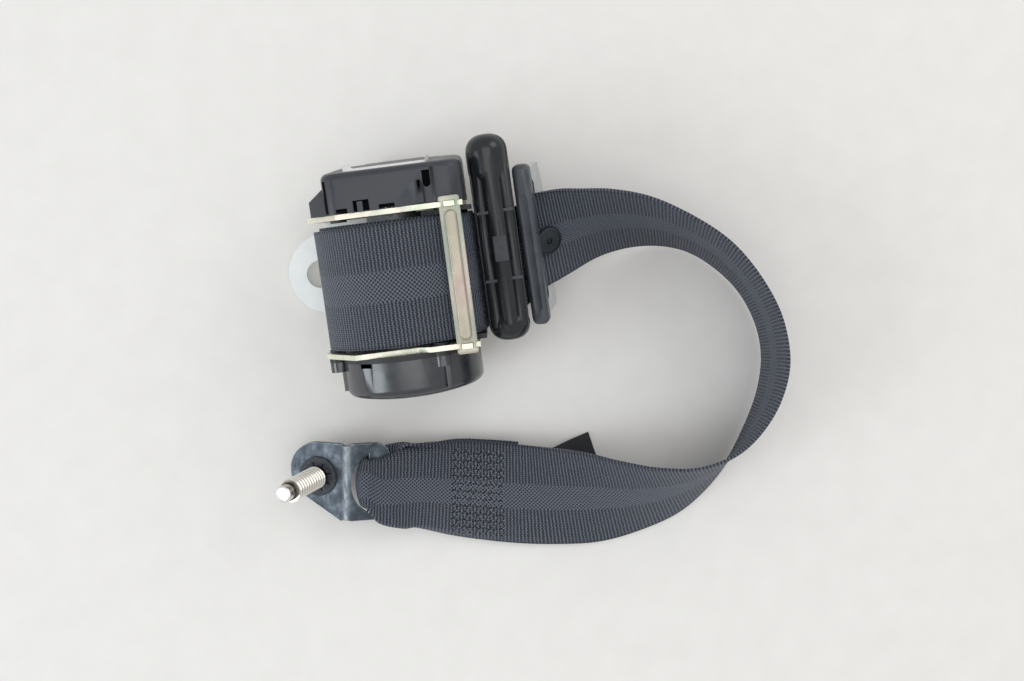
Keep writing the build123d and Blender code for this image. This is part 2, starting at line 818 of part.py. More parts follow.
# Blank tab
def blank_tab():
    """From under the webbing down to the floor."""
    centre, side, normal, _ = station_frames(web_stations)[tab_station]
    under = (web_thickness + tab_thickness) / 2 + layer_gap
    inner = strip_section(centre + side * tab_off_centre - normal * under, side, normal, tab_width, tab_thickness)
    yaw = math.radians(tab_yaw)
    along = Vector(-math.sin(yaw), math.cos(yaw), 0)
    outer = strip_section(Vector(*tab_free_end), along, Vector(0, 0, 1), tab_width, tab_thickness)
    return loft([inner, outer])


retractor_parts = {
    "frame_base": frame_base,
    "mechanism_cheek": mechanism_cheek,
    "spring_cheek": spring_cheek,
    "tie_bar": tie_bar,
    "web_guide": web_guide,
    "spool": spool,
    "web_pin": web_pin,
    "torsion_bar": torsion_bar,
    "webbing_roll": webbing_roll,
    "ratchet_wheel": ratchet_wheel,
    "lock_gear": lock_gear,
    "lock_pawl": lock_pawl,
    "pawl_pin": pawl_pin,
    "mechanism_cover": mechanism_cover,
    "blank_label": blank_label,
    "bearing_carrier": bearing_carrier,
    "sensor_cup": sensor_cup,
    "sensor_ball": sensor_ball,
    "sensor_lever": sensor_lever,
    "lever_axle": lever_axle,
    "spring_backplate": spring_backplate,
    "spring_cover": spring_cover,
    "spring_core": spring_core,
    "spiral_spring": spiral_spring,
}
free_parts = {
    "webbing": webbing,
    "webbing_tail": webbing_tail,
    "webbing_loop": webbing_loop,
    "button_front": button_front,
    "button_back": button_back,
    "anchor_plate": anchor_plate,
    "anchor_bolt": anchor_bolt,
    "bolt_retainer": bolt_retainer,
    "blank_tab": blank_tab,
}

os.makedirs("parts", exist_ok=True)
nodes = {name: in_retractor(make()) for name, make in retractor_parts.items()}
nodes["push_pins"] = in_retractor(Compound([pin.solid() for pin in push_pins()]))
nodes["pillar_loop_plate"] = in_loop(loop_core_plate())
nodes["pillar_loop_cover"] = in_loop(loop_cover())
nodes["tongue_plate"] = in_tongue(tongue_plate())
nodes["tongue_grip"] = in_tongue(tongue_grip())
nodes.update({name: make() for name, make in free_parts.items()})
# The origin is the middle of the whole belt's box, on the surface
boxes = [shape.bounding_box() for shape in nodes.values()]
middle_x = (min(box.min.X for box in boxes) + max(box.max.X for box in boxes)) / 2
middle_y = (min(box.min.Y for box in boxes) + max(box.max.Y for box in boxes)) / 2
lowest = min(box.min.Z for box in boxes)
for name, shape in nodes.items():
    export_step(Pos(-middle_x, -middle_y, -lowest) * shape, f"parts/{name}.step")
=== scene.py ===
import json
import math

import bmesh
import bpy
from mathutils import Matrix, Vector


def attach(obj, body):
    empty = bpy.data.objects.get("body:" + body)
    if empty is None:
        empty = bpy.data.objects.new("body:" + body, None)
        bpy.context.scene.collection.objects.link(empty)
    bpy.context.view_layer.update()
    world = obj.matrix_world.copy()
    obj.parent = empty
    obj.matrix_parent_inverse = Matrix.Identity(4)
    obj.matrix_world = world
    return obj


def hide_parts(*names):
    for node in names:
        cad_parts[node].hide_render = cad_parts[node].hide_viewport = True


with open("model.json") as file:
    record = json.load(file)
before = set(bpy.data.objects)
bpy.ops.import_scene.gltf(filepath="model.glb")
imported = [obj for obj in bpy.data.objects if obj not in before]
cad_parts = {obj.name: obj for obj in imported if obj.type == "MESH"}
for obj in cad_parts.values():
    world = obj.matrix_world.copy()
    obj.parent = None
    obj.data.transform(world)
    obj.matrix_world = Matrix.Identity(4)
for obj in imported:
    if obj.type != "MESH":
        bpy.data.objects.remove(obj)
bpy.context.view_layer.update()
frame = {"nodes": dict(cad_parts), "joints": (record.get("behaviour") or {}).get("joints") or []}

mm = 0.001

# Strap and its weave, in mm
strap_width = 47.0
strap_thickness = 1.2
turn_thickness = 1.08
turn_pitch = 1.2
turn_inner_radius = 11.95
turn_outer_radius = 32.3
rib_pitch = 1.45
zigzag_pitch = 1.7
cross_pitch = 0.85
diamond_pitch = 3.4
diamond_band = 6.0
selvedge_width = 1.1

# Small cloth tab, in mm
tab_width = 20.0
tab_thickness = 0.5
tab_yarn_pitch = 0.6

# Bolt, in mm
bolt_radius = 4.9
thread_pitch = 2.0
thread_span = (2.2, 25.2)

# Where the assemblies stand, in mm from the spot on the floor right under the camera
camera_height = 470.0
reel_place = (-44.6, 25.3, 40.167)
fold_place = (-71.0, -61.3, 17.6)
fold_turns = (("Z", -2.0), ("X", 8.5))
bolt_place = (-13.0, 2.0, 0.0)
reel_pin = Vector(next(j for j in frame["joints"] if j["name"] == "reel_turn")["pos_m"])
shift = reel_pin - Vector(reel_place) * mm


def stand(place, *turns):
    """The axes of an assembly: its centre in mm, then turns in degrees about its own axes."""
    axes = Matrix.Translation(Vector(place) * mm + shift)
    for axis, angle in turns:
        axes = axes @ Matrix.Rotation(math.radians(angle), 4, axis)
    return axes


retractor = stand(reel_place, ("Z", 7.2), ("X", 7.0))
pillar_loop = stand((-5.5, 40.5, 52.5), ("Z", 7.7), ("X", 8.0))
tongue = stand((7.95, 38.4, 45.0), ("Z", 8.5), ("X", 15.0), ("Y", 73.0))
strap_plate = stand(fold_place, *fold_turns, ("Y", 20.0))
bolt_plate = stand(fold_place, *fold_turns, ("Y", -17.5))
bolt_axes = bolt_plate @ Matrix.Translation([part * mm for part in bolt_place])


# Finishes

def node(material, kind, inputs=None, **settings):
    made = material.node_tree.nodes.new("ShaderNode" + kind)
    for key, value in settings.items():
        setattr(made, key, value)
    for socket, value in (inputs or {}).items():
        if isinstance(value, bpy.types.NodeSocket):
            material.node_tree.links.new(value, made.inputs[socket])
        else:
            made.inputs[socket].default_value = value
    return made


def reckon(material, operation, *values):
    return node(material, "Math", dict(enumerate(values)), operation=operation).outputs[0]


def waves(material, value, length, *start):
    """Even waves, this many mm long, of a value in metres."""
    kind = "MULTIPLY_ADD" if start else "MULTIPLY"
    turned = reckon(material, kind, value, math.tau / (length * mm), *start)
    return reckon(material, "SINE", turned)


def surface(name, colour, roughness, metallic=0.0, specular=0.5, sheen=0.0):
    material = bpy.data.materials.new(name)
    material.use_nodes = True
    shader = material.node_tree.nodes["Principled BSDF"]
    shader.inputs["Base Color"].default_value = (*colour, 1.0)
    shader.inputs["Roughness"].default_value = roughness
    shader.inputs["Metallic"].default_value = metallic
    shader.inputs["Specular IOR Level"].default_value = specular
    shader.inputs["Sheen Weight"].default_value = sheen
    material.diffuse_color = (*colour, 1.0)
    return material


def wire(material, socket, source):
    shader = material.node_tree.nodes["Principled BSDF"]
    material.node_tree.links.new(source, shader.inputs[socket])


def on_object(material, stretch=(1.0, 1.0, 1.0)):
    place = node(material, "TexCoord").outputs["Object"]
    return node(material, "Mapping", {"Vector": place, "Scale": stretch}).outputs["Vector"]


def on_cloth(material, map_name):
    """A place on flat cloth, then how far it is across and along, all in metres."""
    place = node(material, "UVMap", uv_map=map_name).outputs["UV"]
    parts = node(material, "SeparateXYZ", {"Vector": place})
    return place, parts.outputs["X"], parts.outputs["Y"]


def painted(material, name):
    """A value held by the piece's own points."""
    return node(material, "Attribute", attribute_name=name, attribute_type="GEOMETRY").outputs["Fac"]


def cloud(material, place, size, detail=3.0, roughness=0.55):
    """Noise whose patches are about this size in mm."""
    values = {"Vector": place, "Scale": 1.0 / (size * mm), "Detail": detail, "Roughness": roughness}
    return node(material, "TexNoise", values).outputs["Fac"]


def shades(material, height, stops):
    ramp = node(material, "ValToRGB", {"Fac": height})
    elements = ramp.color_ramp.elements
    while len(elements) < len(stops):
        elements.new(0.5)
    for element, (position, colour) in zip(elements, stops):
        element.position = position
        element.color = (*colour, 1.0)
    return ramp.outputs["Color"]


def spread(material, value, low, high, start=0.35, end=0.65):
    values = {"Value": value, "From Min": start, "From Max": end, "To Min": low, "To Max": high}
    return node(material, "MapRange", values).outputs["Result"]


def colour_by(material, height, stops):
    """Colours a finish by the height of a pattern."""
    wire(material, "Base Color", shades(material, height, stops))


def gloss_by(material, height, *limits):
    """Varies a finish's roughness between limits by the height of a pattern."""
    wire(material, "Roughness", spread(material, height, *limits))


def relief(material, height, depth):
    bump = node(material, "Bump", {"Height": height, "Distance": depth * mm, "Strength": 1.0})
    wire(material, "Normal", bump.outputs["Normal"])


def times(colour, amount):
    return tuple(min(1.0, part * amount) for part in colour)


def moulded(name, colour, roughness, grain, depth, specular=0.5, dust=1.25):
    """Moulded plastic: a fine spark-eroded grain, cloudy gloss and a little dust."""
    material = surface(name, colour, roughness, specular=specular)
    place = on_object(material)
    patches = cloud(material, place, 9.0, 5.0)
    colour_by(material, patches, [(0.3, times(colour, 0.85)), (0.7, times(colour, dust))])
    gloss_by(material, patches, roughness - 0.05, roughness + 0.08)
    relief(material, cloud(material, place, grain, 2.0), depth)
    return material


def metal(name, dark, light, roughness, patch=6.0, stretch=(1.0, 1.0, 1.0), depth=0.01, metallic=1.0):
    """Plated or bare metal: cloudy tone, uneven gloss and fine scratches along one way."""
    material = surface(name, light, roughness, metallic=metallic)
    place = on_object(material)
    tone = cloud(material, place, patch, 6.0)
    colour_by(material, tone, [(0.32, dark), (0.68, light)])
    scratches = cloud(material, on_object(material, stretch), 0.7, 4.0)
    gloss_by(material, scratches, roughness - 0.06, roughness + 0.12)
    relief(material, scratches, depth)
    return material


def yellow_zinc(name, green, straw, pink):
    """Passivated zinc, which drifts from straw to green on one side and pink on the other."""
    material = surface(name, straw, 0.3, metallic=0.55)
    drift = cloud(material, on_object(material, (1.0, 0.3, 1.0)), 9.0, 2.0, 0.5)
    stops = [(0.32, green), (0.50, straw), (0.68, pink)]
    colour_by(material, drift, stops)
    haze = cloud(material, on_object(material), 5.0, 3.0)
    gloss_by(material, haze, 0.26, 0.40)
    return material


def belt_weave(name, map_name, bright=1.0):
    """Close black webbing: ribs across, small diamonds down the middle and a plain selvedge."""
    material = surface(name, (0.04, 0.042, 0.05), 0.55, specular=0.45, sheen=0.15)
    shader = material.node_tree.nodes["Principled BSDF"]
    shader.inputs["Sheen Roughness"].default_value = 0.4
    shader.inputs["Sheen Tint"].default_value = (0.7, 0.8, 1.0, 1.0)
    place, across, along = on_cloth(material, map_name)
    zigzag = reckon(material, "MULTIPLY", waves(material, across, zigzag_pitch), 0.5)
    uneven = reckon(material, "MULTIPLY_ADD", cloud(material, place, 2.5, 2.0), 3.0, zigzag)
    ribs = waves(material, along, rib_pitch, uneven)
    cross = waves(material, across, cross_pitch)
    twill = reckon(material, "MULTIPLY_ADD", cross, 0.4, ribs)
    one = waves(material, reckon(material, "ADD", along, across), diamond_pitch)
    two = waves(material, reckon(material, "SUBTRACT", along, across), diamond_pitch)
    diamonds = reckon(material, "MULTIPLY", one, two)
    diamonds = reckon(material, "POWER", reckon(material, "ABSOLUTE", diamonds), 2.0)
    diamonds = reckon(material, "MULTIPLY_ADD", diamonds, -3.0, 1.0)
    middle_line = strap_width / 2 * mm
    off_centre = reckon(material, "ABSOLUTE", reckon(material, "SUBTRACT", across, middle_line))
    in_band = reckon(material, "LESS_THAN", off_centre, diamond_band * mm)
    difference = reckon(material, "SUBTRACT", diamonds, twill)
    height = reckon(material, "MULTIPLY_ADD", difference, in_band, twill)
    selvedge = reckon(material, "GREATER_THAN", off_centre, (strap_width / 2 - selvedge_width) * mm)
    height = reckon(material, "MULTIPLY_ADD", selvedge, -0.4, height)
    yarn = cloud(material, place, 0.35, 2.0)
    fuzz = reckon(material, "MULTIPLY_ADD", yarn, 1.0, height)
    tone = reckon(material, "MULTIPLY_ADD", fuzz, 0.32, 0.32)
    low = times((0.007, 0.009, 0.014), bright)
    middle = times((0.042, 0.050, 0.069), bright)
    high = times((0.170, 0.188, 0.232), bright)
    colour_by(material, tone, [(0.08, low), (0.5, middle), (0.9, high)])
    gloss_by(material, yarn, 0.48, 0.66)
    relief(material, fuzz, 0.22)
    return material


def phosphate_steel():
    """Dark phosphated steel, blotched, with a pale streak painted along the top of the fold as a highlight.
    """
    material = surface("anchor_phosphate", (0.035, 0.042, 0.055), 0.42, metallic=0.35)
    place = on_object(material)
    blotch = cloud(material, place, 7.0, 7.0, 0.62)
    stops = [(0.32, (0.030, 0.040, 0.050)), (0.52, (0.085, 0.108, 0.135)), (0.72, (0.24, 0.28, 0.33))]
    coated = shades(material, blotch, stops)
    rubbed = cloud(material, on_object(material, (1.0, 0.25, 1.0)), 1.2, 4.0)
    # Pale steel along the top of the fold is a painted highlight, broken up by the streak noise.
    fold_highlight_share = reckon(material, "MULTIPLY", painted(material, "fold_highlight"), spread(material, rubbed, 0.25, 1.0))
    mixed = node(material, "Mix", {0: fold_highlight_share, 6: coated, 7: (0.55, 0.60, 0.66, 1.0)}, data_type="RGBA")
    wire(material, "Base Color", mixed.outputs[2])
    gloss_by(material, rubbed, 0.30, 0.52)
    relief(material, rubbed, 0.03)
    return material


def worn_edge():
    """The same steel where an edge has lost its coating."""
    material = surface("anchor_worn_edge", (0.30, 0.34, 0.40), 0.35, metallic=0.8)
    rubbed = cloud(material, on_object(material), 2.2, 5.0, 0.65)
    stops = [(0.34, (0.10, 0.12, 0.15)), (0.50, (0.36, 0.41, 0.47)), (0.66, (0.72, 0.76, 0.80))]
    colour_by(material, rubbed, stops)
    gloss_by(material, rubbed, 0.28, 0.48)
    return material


def flecked_fibre():
    material = surface("flecked_fibre", (0.03, 0.034, 0.042), 0.6)
    place = on_object(material)
    flecks = cloud(material, place, 0.6, 3.0, 0.7)
    stops = [(0.40, (0.022, 0.026, 0.034)), (0.62, (0.05, 0.056, 0.068)), (0.72, (0.30, 0.31, 0.33))]
    colour_by(material, flecks, stops)
    relief(material, flecks, 0.08)
    return material


def label_film():
    material = surface("plain_label_film", (0.80, 0.80, 0.78), 0.38)
    patches = cloud(material, on_object(material), 8.0, 4.0)
    colour_by(material, patches, [(0.3, (0.80, 0.80, 0.785)), (0.7, (0.86, 0.86, 0.85))])
    relief(material, patches, 0.05)
    return material


def thread_steel():
    """Bolt steel with cloudy dirt, painted dark in the thread roots as shade and pale on the crests as a
    highlight.
    """
    material = surface("bolt_thread_steel", (0.7, 0.66, 0.58), 0.24, metallic=0.9)
    dirt = cloud(material, on_object(material), 3.0)
    # Cloudy dirt laid over the painted shade in the roots and the painted highlight on the crests.
    tone = reckon(material, "MULTIPLY_ADD", dirt, 0.3, painted(material, "thread_light"))
    stops = [(0.15, (0.08, 0.065, 0.05)), (0.55, (0.52, 0.46, 0.38)), (1.0, (0.92, 0.88, 0.80))]
    colour_by(material, tone, stops)
    gloss_by(material, tone, 0.42, 0.20, 0.2, 1.0)
    return material


def tab_cloth():
    material = surface("tab_cloth", (0.02, 0.021, 0.024), 0.8, sheen=0.2)
    _, *threads = on_cloth(material, "tab")
    weave = reckon(material, "MULTIPLY", *(waves(material, way, tab_yarn_pitch) for way in threads))
    tone = reckon(material, "MULTIPLY_ADD", weave, 0.3, 0.5)
    colour_by(material, tone, [(0.1, (0.012, 0.012, 0.014)), (0.9, (0.034, 0.035, 0.040))])
    relief(material, weave, 0.06)
    return material


def sewing_thread():
    material = surface("sewing_thread", (0.05, 0.052, 0.06), 0.38, sheen=0.2)
    strands = cloud(material, on_object(material, (0.3, 1.0, 1.0)), 0.25, 2.0)
    colour_by(material, strands, [(0.3, (0.05, 0.055, 0.07)), (0.7, (0.26, 0.28, 0.33))])
    relief(material, strands, 0.08)
    return material


satin_black = moulded("satin_black_moulding", (0.034, 0.038, 0.047), 0.36, 0.22, 0.02)
gloss_black = moulded("gloss_black_moulding", (0.012, 0.015, 0.020), 0.24, 1.4, 0.006, specular=1.0)
loop_black = moulded("loop_black_moulding", (0.013, 0.015, 0.018), 0.22, 0.3, 0.010)
# Paler matte: the pad's own grained finish, and a painted highlight on the tops of the ticks.
pad_matte_and_tick_highlight = moulded("loop_matte_pad_and_tick_highlight", (0.060, 0.064, 0.072), 0.60, 0.5, 0.05, specular=0.3)
grip_black = moulded("grip_black_moulding", (0.062, 0.071, 0.083), 0.32, 0.25, 0.015)
inner_black = moulded("inner_black_moulding", (0.016, 0.016, 0.018), 0.45, 0.25, 0.015)
white_nylon = moulded("white_nylon", (0.72, 0.72, 0.69), 0.42, 0.4, 0.01, dust=1.08)
button_black = moulded("button_black_moulding", (0.020, 0.024, 0.030), 0.45, 0.3, 0.01, specular=0.4)
brushed_across, brushed_along, brushed_up = (1.0, 0.2, 1.0), (0.2, 1.0, 1.0), (1.0, 1.0, 0.3)
# Pale zinc made near-white and barely metallic: the bright room's reflection painted into its colour.
zinc_with_painted_reflection = metal("zinc_plate_painted_reflection", (0.88, 0.91, 0.90), (0.95, 0.97, 0.96), 0.45, 9.0, brushed_across, 0.004, 0.1)
chrome = metal("chromed_steel", (0.50, 0.53, 0.56), (0.66, 0.69, 0.71), 0.20, 6.0, brushed_along, 0.004)
cast_alloy = metal("cast_alloy", (0.34, 0.35, 0.36), (0.55, 0.56, 0.57), 0.50, 3.0, depth=0.05)
bare_steel = metal("bare_steel", (0.42, 0.43, 0.44), (0.64, 0.65, 0.66), 0.32, 4.0, brushed_across)
spring_steel = metal("blue_spring_steel", (0.16, 0.19, 0.25), (0.34, 0.38, 0.44), 0.28, 4.0)
bolt_steel = metal("bolt_steel", (0.55, 0.51, 0.44), (0.74, 0.69, 0.60), 0.22, 4.0, brushed_up, 0.002)
# Near-black steel for painted shade on the bolt's neck and in the groove by its point.
bolt_shadow = metal("bolt_painted_shadow", (0.03, 0.03, 0.03), (0.10, 0.10, 0.10), 0.35, 2.0)
# Near-white steel for a painted highlight on the end face of the bolt's point.
bolt_end_highlight = metal("bolt_point_painted_highlight", (0.78, 0.78, 0.76), (0.94, 0.94, 0.93), 0.40, 3.0)
passivated = yellow_zinc("straw_zinc", (0.66, 0.71, 0.56), (0.84, 0.82, 0.68), (0.86, 0.74, 0.66))
bar_zinc = yellow_zinc("green_straw_zinc", (0.34, 0.38, 0.31), (0.48, 0.47, 0.38), (0.52, 0.43, 0.40))
rib_zinc = yellow_zinc("cream_pink_zinc", (0.40, 0.37, 0.29), (0.46, 0.41, 0.33), (0.46, 0.34, 0.31))
phosphate = phosphate_steel()
scuffed = worn_edge()
fibre = flecked_fibre()
label = label_film()
thread = sewing_thread()
# Near-black for painted shade: the sheet laid under the cover's windows so its inside looks unlit.
shade_black = moulded("unlit_black", (0.003, 0.003, 0.004), 0.8, 0.3, 0.02, specular=0.1)
# Near-black for painted shade inside the needle holes.
stitch_hole_shade = moulded("stitch_holes", (0.006, 0.006, 0.007), 0.8, 0.3, 0.02)


# Modelling by hand: every piece starts as a primitive in its assembly's own axes

# Points nearer than this, in metres, are one; faces nearer than this, in degrees, are flat
same_point = 0.00001
flat_angle = 0.8


def choose(piece=None):
    if bpy.context.object and bpy.context.object.mode != "OBJECT":
        bpy.ops.object.mode_set(mode="OBJECT")
    bpy.ops.object.select_all(action="DESELECT")
    if piece:
        piece.select_set(True)
        bpy.context.view_layer.objects.active = piece


def block(x, y, z):
    choose()
    centre = [(low + high) / 2 * mm for low, high in (x, y, z)]
    size = [(high - low) * mm for low, high in (x, y, z)]
    bpy.ops.mesh.primitive_cube_add(size=1.0, location=centre, scale=size)
    bpy.ops.object.transform_apply(location=True, rotation=True, scale=True)
    return bpy.context.object


def rod(axis, radius, span, centre=(0.0, 0.0), sides=48):
    """A round bar along one axis; centre is its place on the other two."""
    choose()
    turn = {"X": (0, math.pi / 2, 0), "Y": (math.pi / 2, 0, 0), "Z": (0, 0, 0)}[axis]
    place = list(centre)
    place.insert("XYZ".index(axis), (span[0] + span[1]) / 2)
    bpy.ops.mesh.primitive_cylinder_add(
        vertices=sides,
        radius=radius * mm,
        depth=(span[1] - span[0]) * mm,
        location=[part * mm for part in place],
        rotation=turn,
    )
    bpy.ops.object.transform_apply(location=True, rotation=True, scale=True)
    return bpy.context.object


def pick(piece, kind, test):
    """Selects the faces or edges whose middle, in mm, and direction pass the test."""
    choose(piece)
    bpy.ops.object.mode_set(mode="EDIT")
    bpy.ops.mesh.select_mode(type=kind)
    bpy.ops.mesh.select_all(action="DESELECT")
    mesh = bmesh.from_edit_mesh(piece.data)
    if kind == "FACE":
        for face in mesh.faces:
            face.select_set(test(face.calc_center_median() / mm, face.normal))
    elif kind == "EDGE":
        for edge in mesh.edges:
            a, b = edge.verts[0].co / mm, edge.verts[1].co / mm
            edge.select_set(test(a, b))
    else:
        for vert in mesh.verts:
            vert.select_set(test(vert.co / mm))
        mesh.select_flush(True)
    bmesh.update_edit_mesh(piece.data)


def put(name, data):
    """Stands a mesh, lamp or camera in the scene."""
    piece = bpy.data.objects.new(name, data)
    bpy.context.scene.collection.objects.link(piece)
    return piece


def leave():
    bpy.ops.object.mode_set(mode="OBJECT")


def edit_all(piece):
    """Opens a piece for editing with all of it selected."""
    choose(piece)
    bpy.ops.object.mode_set(mode="EDIT")
    bpy.ops.mesh.select_all(action="SELECT")


def shape_with(piece, kind, **settings):
    """Gives a piece one modifier with these settings and applies it."""
    choose(piece)
    modifier = piece.modifiers.new(kind.lower(), kind)
    for key, value in settings.items():
        setattr(modifier, key, value)
    bpy.ops.object.modifier_apply(modifier=modifier.name)
    return piece


def above(level):
    """Picks the edges that lie above this height in mm."""
    return lambda a, b: min(a.z, b.z) > level


def below(level):
    """Picks the edges that lie below this height in mm."""
    return lambda a, b: max(a.z, b.z) < level


def round_edges(piece, radius, test, segments=5):
    pick(piece, "EDGE", test)
    bpy.ops.mesh.bevel(offset=radius * mm, segments=segments, affect="EDGES", clamp_overlap=False)
    leave()


def move_verts(piece, test, by):
    pick(piece, "VERT", test)
    bpy.ops.transform.translate(value=[part * mm for part in by])
    leave()


def press(piece, test, inset, by):
    """Insets the picked faces and moves them, for a step, dish or boss."""
    pick(piece, "FACE", test)
    bpy.ops.mesh.inset(thickness=inset * mm, depth=0)
    bpy.ops.mesh.extrude_region_move(TRANSFORM_OT_translate={"value": [part * mm for part in by]})
    leave()


def hull(*parts):
    choose(parts[0])
    for part in parts[1:]:
        part.select_set(True)
    bpy.ops.object.join()
    edit_all(parts[0])
    bpy.ops.mesh.convex_hull()
    bpy.ops.mesh.select_all(action="SELECT")
    bpy.ops.mesh.dissolve_limited(angle_limit=math.radians(flat_angle))
    leave()
    return parts[0]


def combine(body, tools, how):
    for tool in tools:
        shape_with(body, "BOOLEAN", operation=how, object=tool, solver="EXACT")
        bpy.data.objects.remove(tool)
    return body


def join(body, *tools):
    return combine(body, tools, "UNION")


def cut(body, *tools):
    return combine(body, tools, "DIFFERENCE")


def merge_flat(piece):
    edit_all(piece)
    bpy.ops.mesh.remove_doubles(threshold=same_point)
    bpy.ops.mesh.dissolve_limited(angle_limit=math.radians(flat_angle))
    leave()


def soften(piece, width, segments=3, angle=32, finish=-1):
    """Rounds every edge sharper than the angle; finish is the slot that the new faces take."""
    limit = {"limit_method": "ANGLE", "angle_limit": math.radians(angle)}
    return shape_with(piece, "BEVEL", width=width * mm, segments=segments, material=finish, **limit)


def thicken(piece, wall, offset=-1.0):
    return shape_with(piece, "SOLIDIFY", thickness=wall * mm, offset=offset)


def two_finishes(piece, main, other, test=lambda p, n: False):
    """Gives the other finish to the faces whose middle, in mm, and direction pass the test."""
    piece.data.materials.append(main)
    piece.data.materials.append(other)
    for face in piece.data.polygons:
        face.material_index = int(test(face.center / mm, face.normal))


def drop_faces(piece, test):
    pick(piece, "FACE", test)
    bpy.ops.mesh.delete(type="FACE")
    leave()


def finish_piece(piece, name, axes, body, nodes, slot, material=None, smooth=38):
    """Puts a piece in its place in the object, names it and hides the parts that it stands in for."""
    piece.name = name
    piece.data.name = name
    if axes is not None:
        piece.data.transform(axes)
    if material:
        piece.data.materials.clear()
        piece.data.materials.append(material)
    choose(piece)
    bpy.ops.object.shade_smooth_by_angle(angle=math.radians(smooth))
    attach(piece, body)
    if nodes:
        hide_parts(*nodes)
    return piece


# Moulded covers of the retractor

def mechanism_cover():
    base, top_end, top, bottom = 28.35, 43.7, 26.0, -34.0
    left, right = -24.0, 30.0
    lean = math.tan(math.radians(5.0))
    shell = block((left, right), (base, top_end), (bottom, top))
    move_verts(shell, lambda p: p.y > base + 1 and p.z < 0, (0, (top - bottom) * lean, 0))

    def corner(x, z):
        return lambda a, b: max(abs(a.x - x), abs(b.x - x), abs(a.z - z), abs(b.z - z)) < 0.1

    top_corners = (left, top, 6.0, 8), (right, top, 6.0, 8)
    for x, z, radius, segments in (*top_corners, (left, bottom, 10.0, 10), (right, bottom, 21.0, 16)):
        round_edges(shell, radius, corner(x, z), segments)
    foot_half, foot_bottom = 13.0, -43.94
    foot = block((-foot_half, foot_half), (base, top_end + 59 * lean), (foot_bottom, bottom + 1))
    move_verts(foot, lambda p: p.y > base + 1 and p.z < -40, (0, 10.94 * lean, 0))
    for x in (-foot_half, foot_half):
        round_edges(foot, 3.0, corner(x, foot_bottom), 5)
    join(shell, foot)
    merge_flat(shell)

    def rim(a, b):
        return min(a.y - base, b.y - base) > 10 and min(a.z, b.z) > -31.0

    def on_end(p):
        return abs(p.y - (top_end + (top - p.z) * lean)) < 0.25

    round_edges(shell, 2.6, lambda a, b: rim(a, b) and on_end(a) and on_end(b), 5)
    drop_faces(shell, lambda p, n: n.y < -0.9 and p.y < base + 0.2)
    thicken(shell, 0.9)
    windows = [
        block((-24.6, -23.0), (27.0, 30.4), (20.0, 28.0)),
        block((-19.0, -14.7), (27.0, 30.2), (22.0, 28.0)),
        block((-12.3, -6.2), (27.0, 32.7), (22.0, 28.0)),
        block((-2.6, 3.4), (27.0, 30.2), (22.0, 28.0)),
        block((15.0, 18.0), (36.0, 40.9), (22.0, 29.0)),
        rod("Z", 1.5, (22.0, 29.0), (16.5, 36.0), 24),
    ]
    clip = block((-10.7, -8.6), (base, 32.2), (24.2, 26.7))
    facet = block((9.8, 15.2), (28.9, 37.4), (24.8, 27.9))
    move_verts(facet, lambda p: p.z > 27 and p.x < 11, (4.2, 0, 0))
    move_verts(facet, lambda p: p.x > 14 and p.y > 37, (0, -2.6, 0))
    rib = block((18.3, 19.4), (28.6, 41.8), (24.8, 27.0))
    ear = block((-29.9, -23.0), (base, 39.6), (11.0, 19.0))
    move_verts(ear, lambda p: p.x < -29 and p.y > 38, (0, -5.4, 0))
    gusset = block((-30.5, -23.0), (base, 31.3), (-22.0, 4.0))
    move_verts(gusset, lambda p: p.x < -30 and p.z > 0, (0, 0, -8.0))
    move_verts(gusset, lambda p: p.x < -30 and p.z < -20, (0, 0, 8.0))
    join(shell, facet, rib, ear, gusset)
    soften(shell, 0.3, 2)
    cut(shell, *windows)
    # The thin sheet under the windows is painted shade, near-black so the cover looks unlit inside.
    join(shell, clip, block((-23.0, 20.0), (28.8, 41.2), (24.08, 24.4)))
    for x, z in ((-19.5, 19.5), (20.5, -29.0), (20.5, 17.0)):
        boss = rod("Y", 3.6, (base, base + 5.4), (x, z), 32)
        cut(boss, rod("Y", 1.7, (base - 1, base + 4.6), (x, z), 24))
        join(shell, boss)

    # The faces of that sheet, which take the painted shade.
    def shade_sheet(p, n):
        return 24.0 < p.z < 24.45 and p.x < 20.1 and n.z > 0.9

    two_finishes(shell, satin_black, shade_black, shade_sheet)
    finish_piece(shell, "mechanism_cover_shell", retractor, "retractor", ["mechanism_cover"], "black_plastic")

    film = block((-15.0, 17.0), (top_end + 0.02, top_end + 0.14), (-0.9, 23.2))
    move_verts(film, lambda p: True, (0, 2.8 * lean, 0))
    move_verts(film, lambda p: p.z < 0, (0, 24.1 * lean, 0))
    round_edges(film, 2.0, lambda a, b: abs(a.y - b.y) > 0.1, 5)
    finish_piece(film, "blank_label_film", retractor, "retractor", ["blank_label"], "label", label)


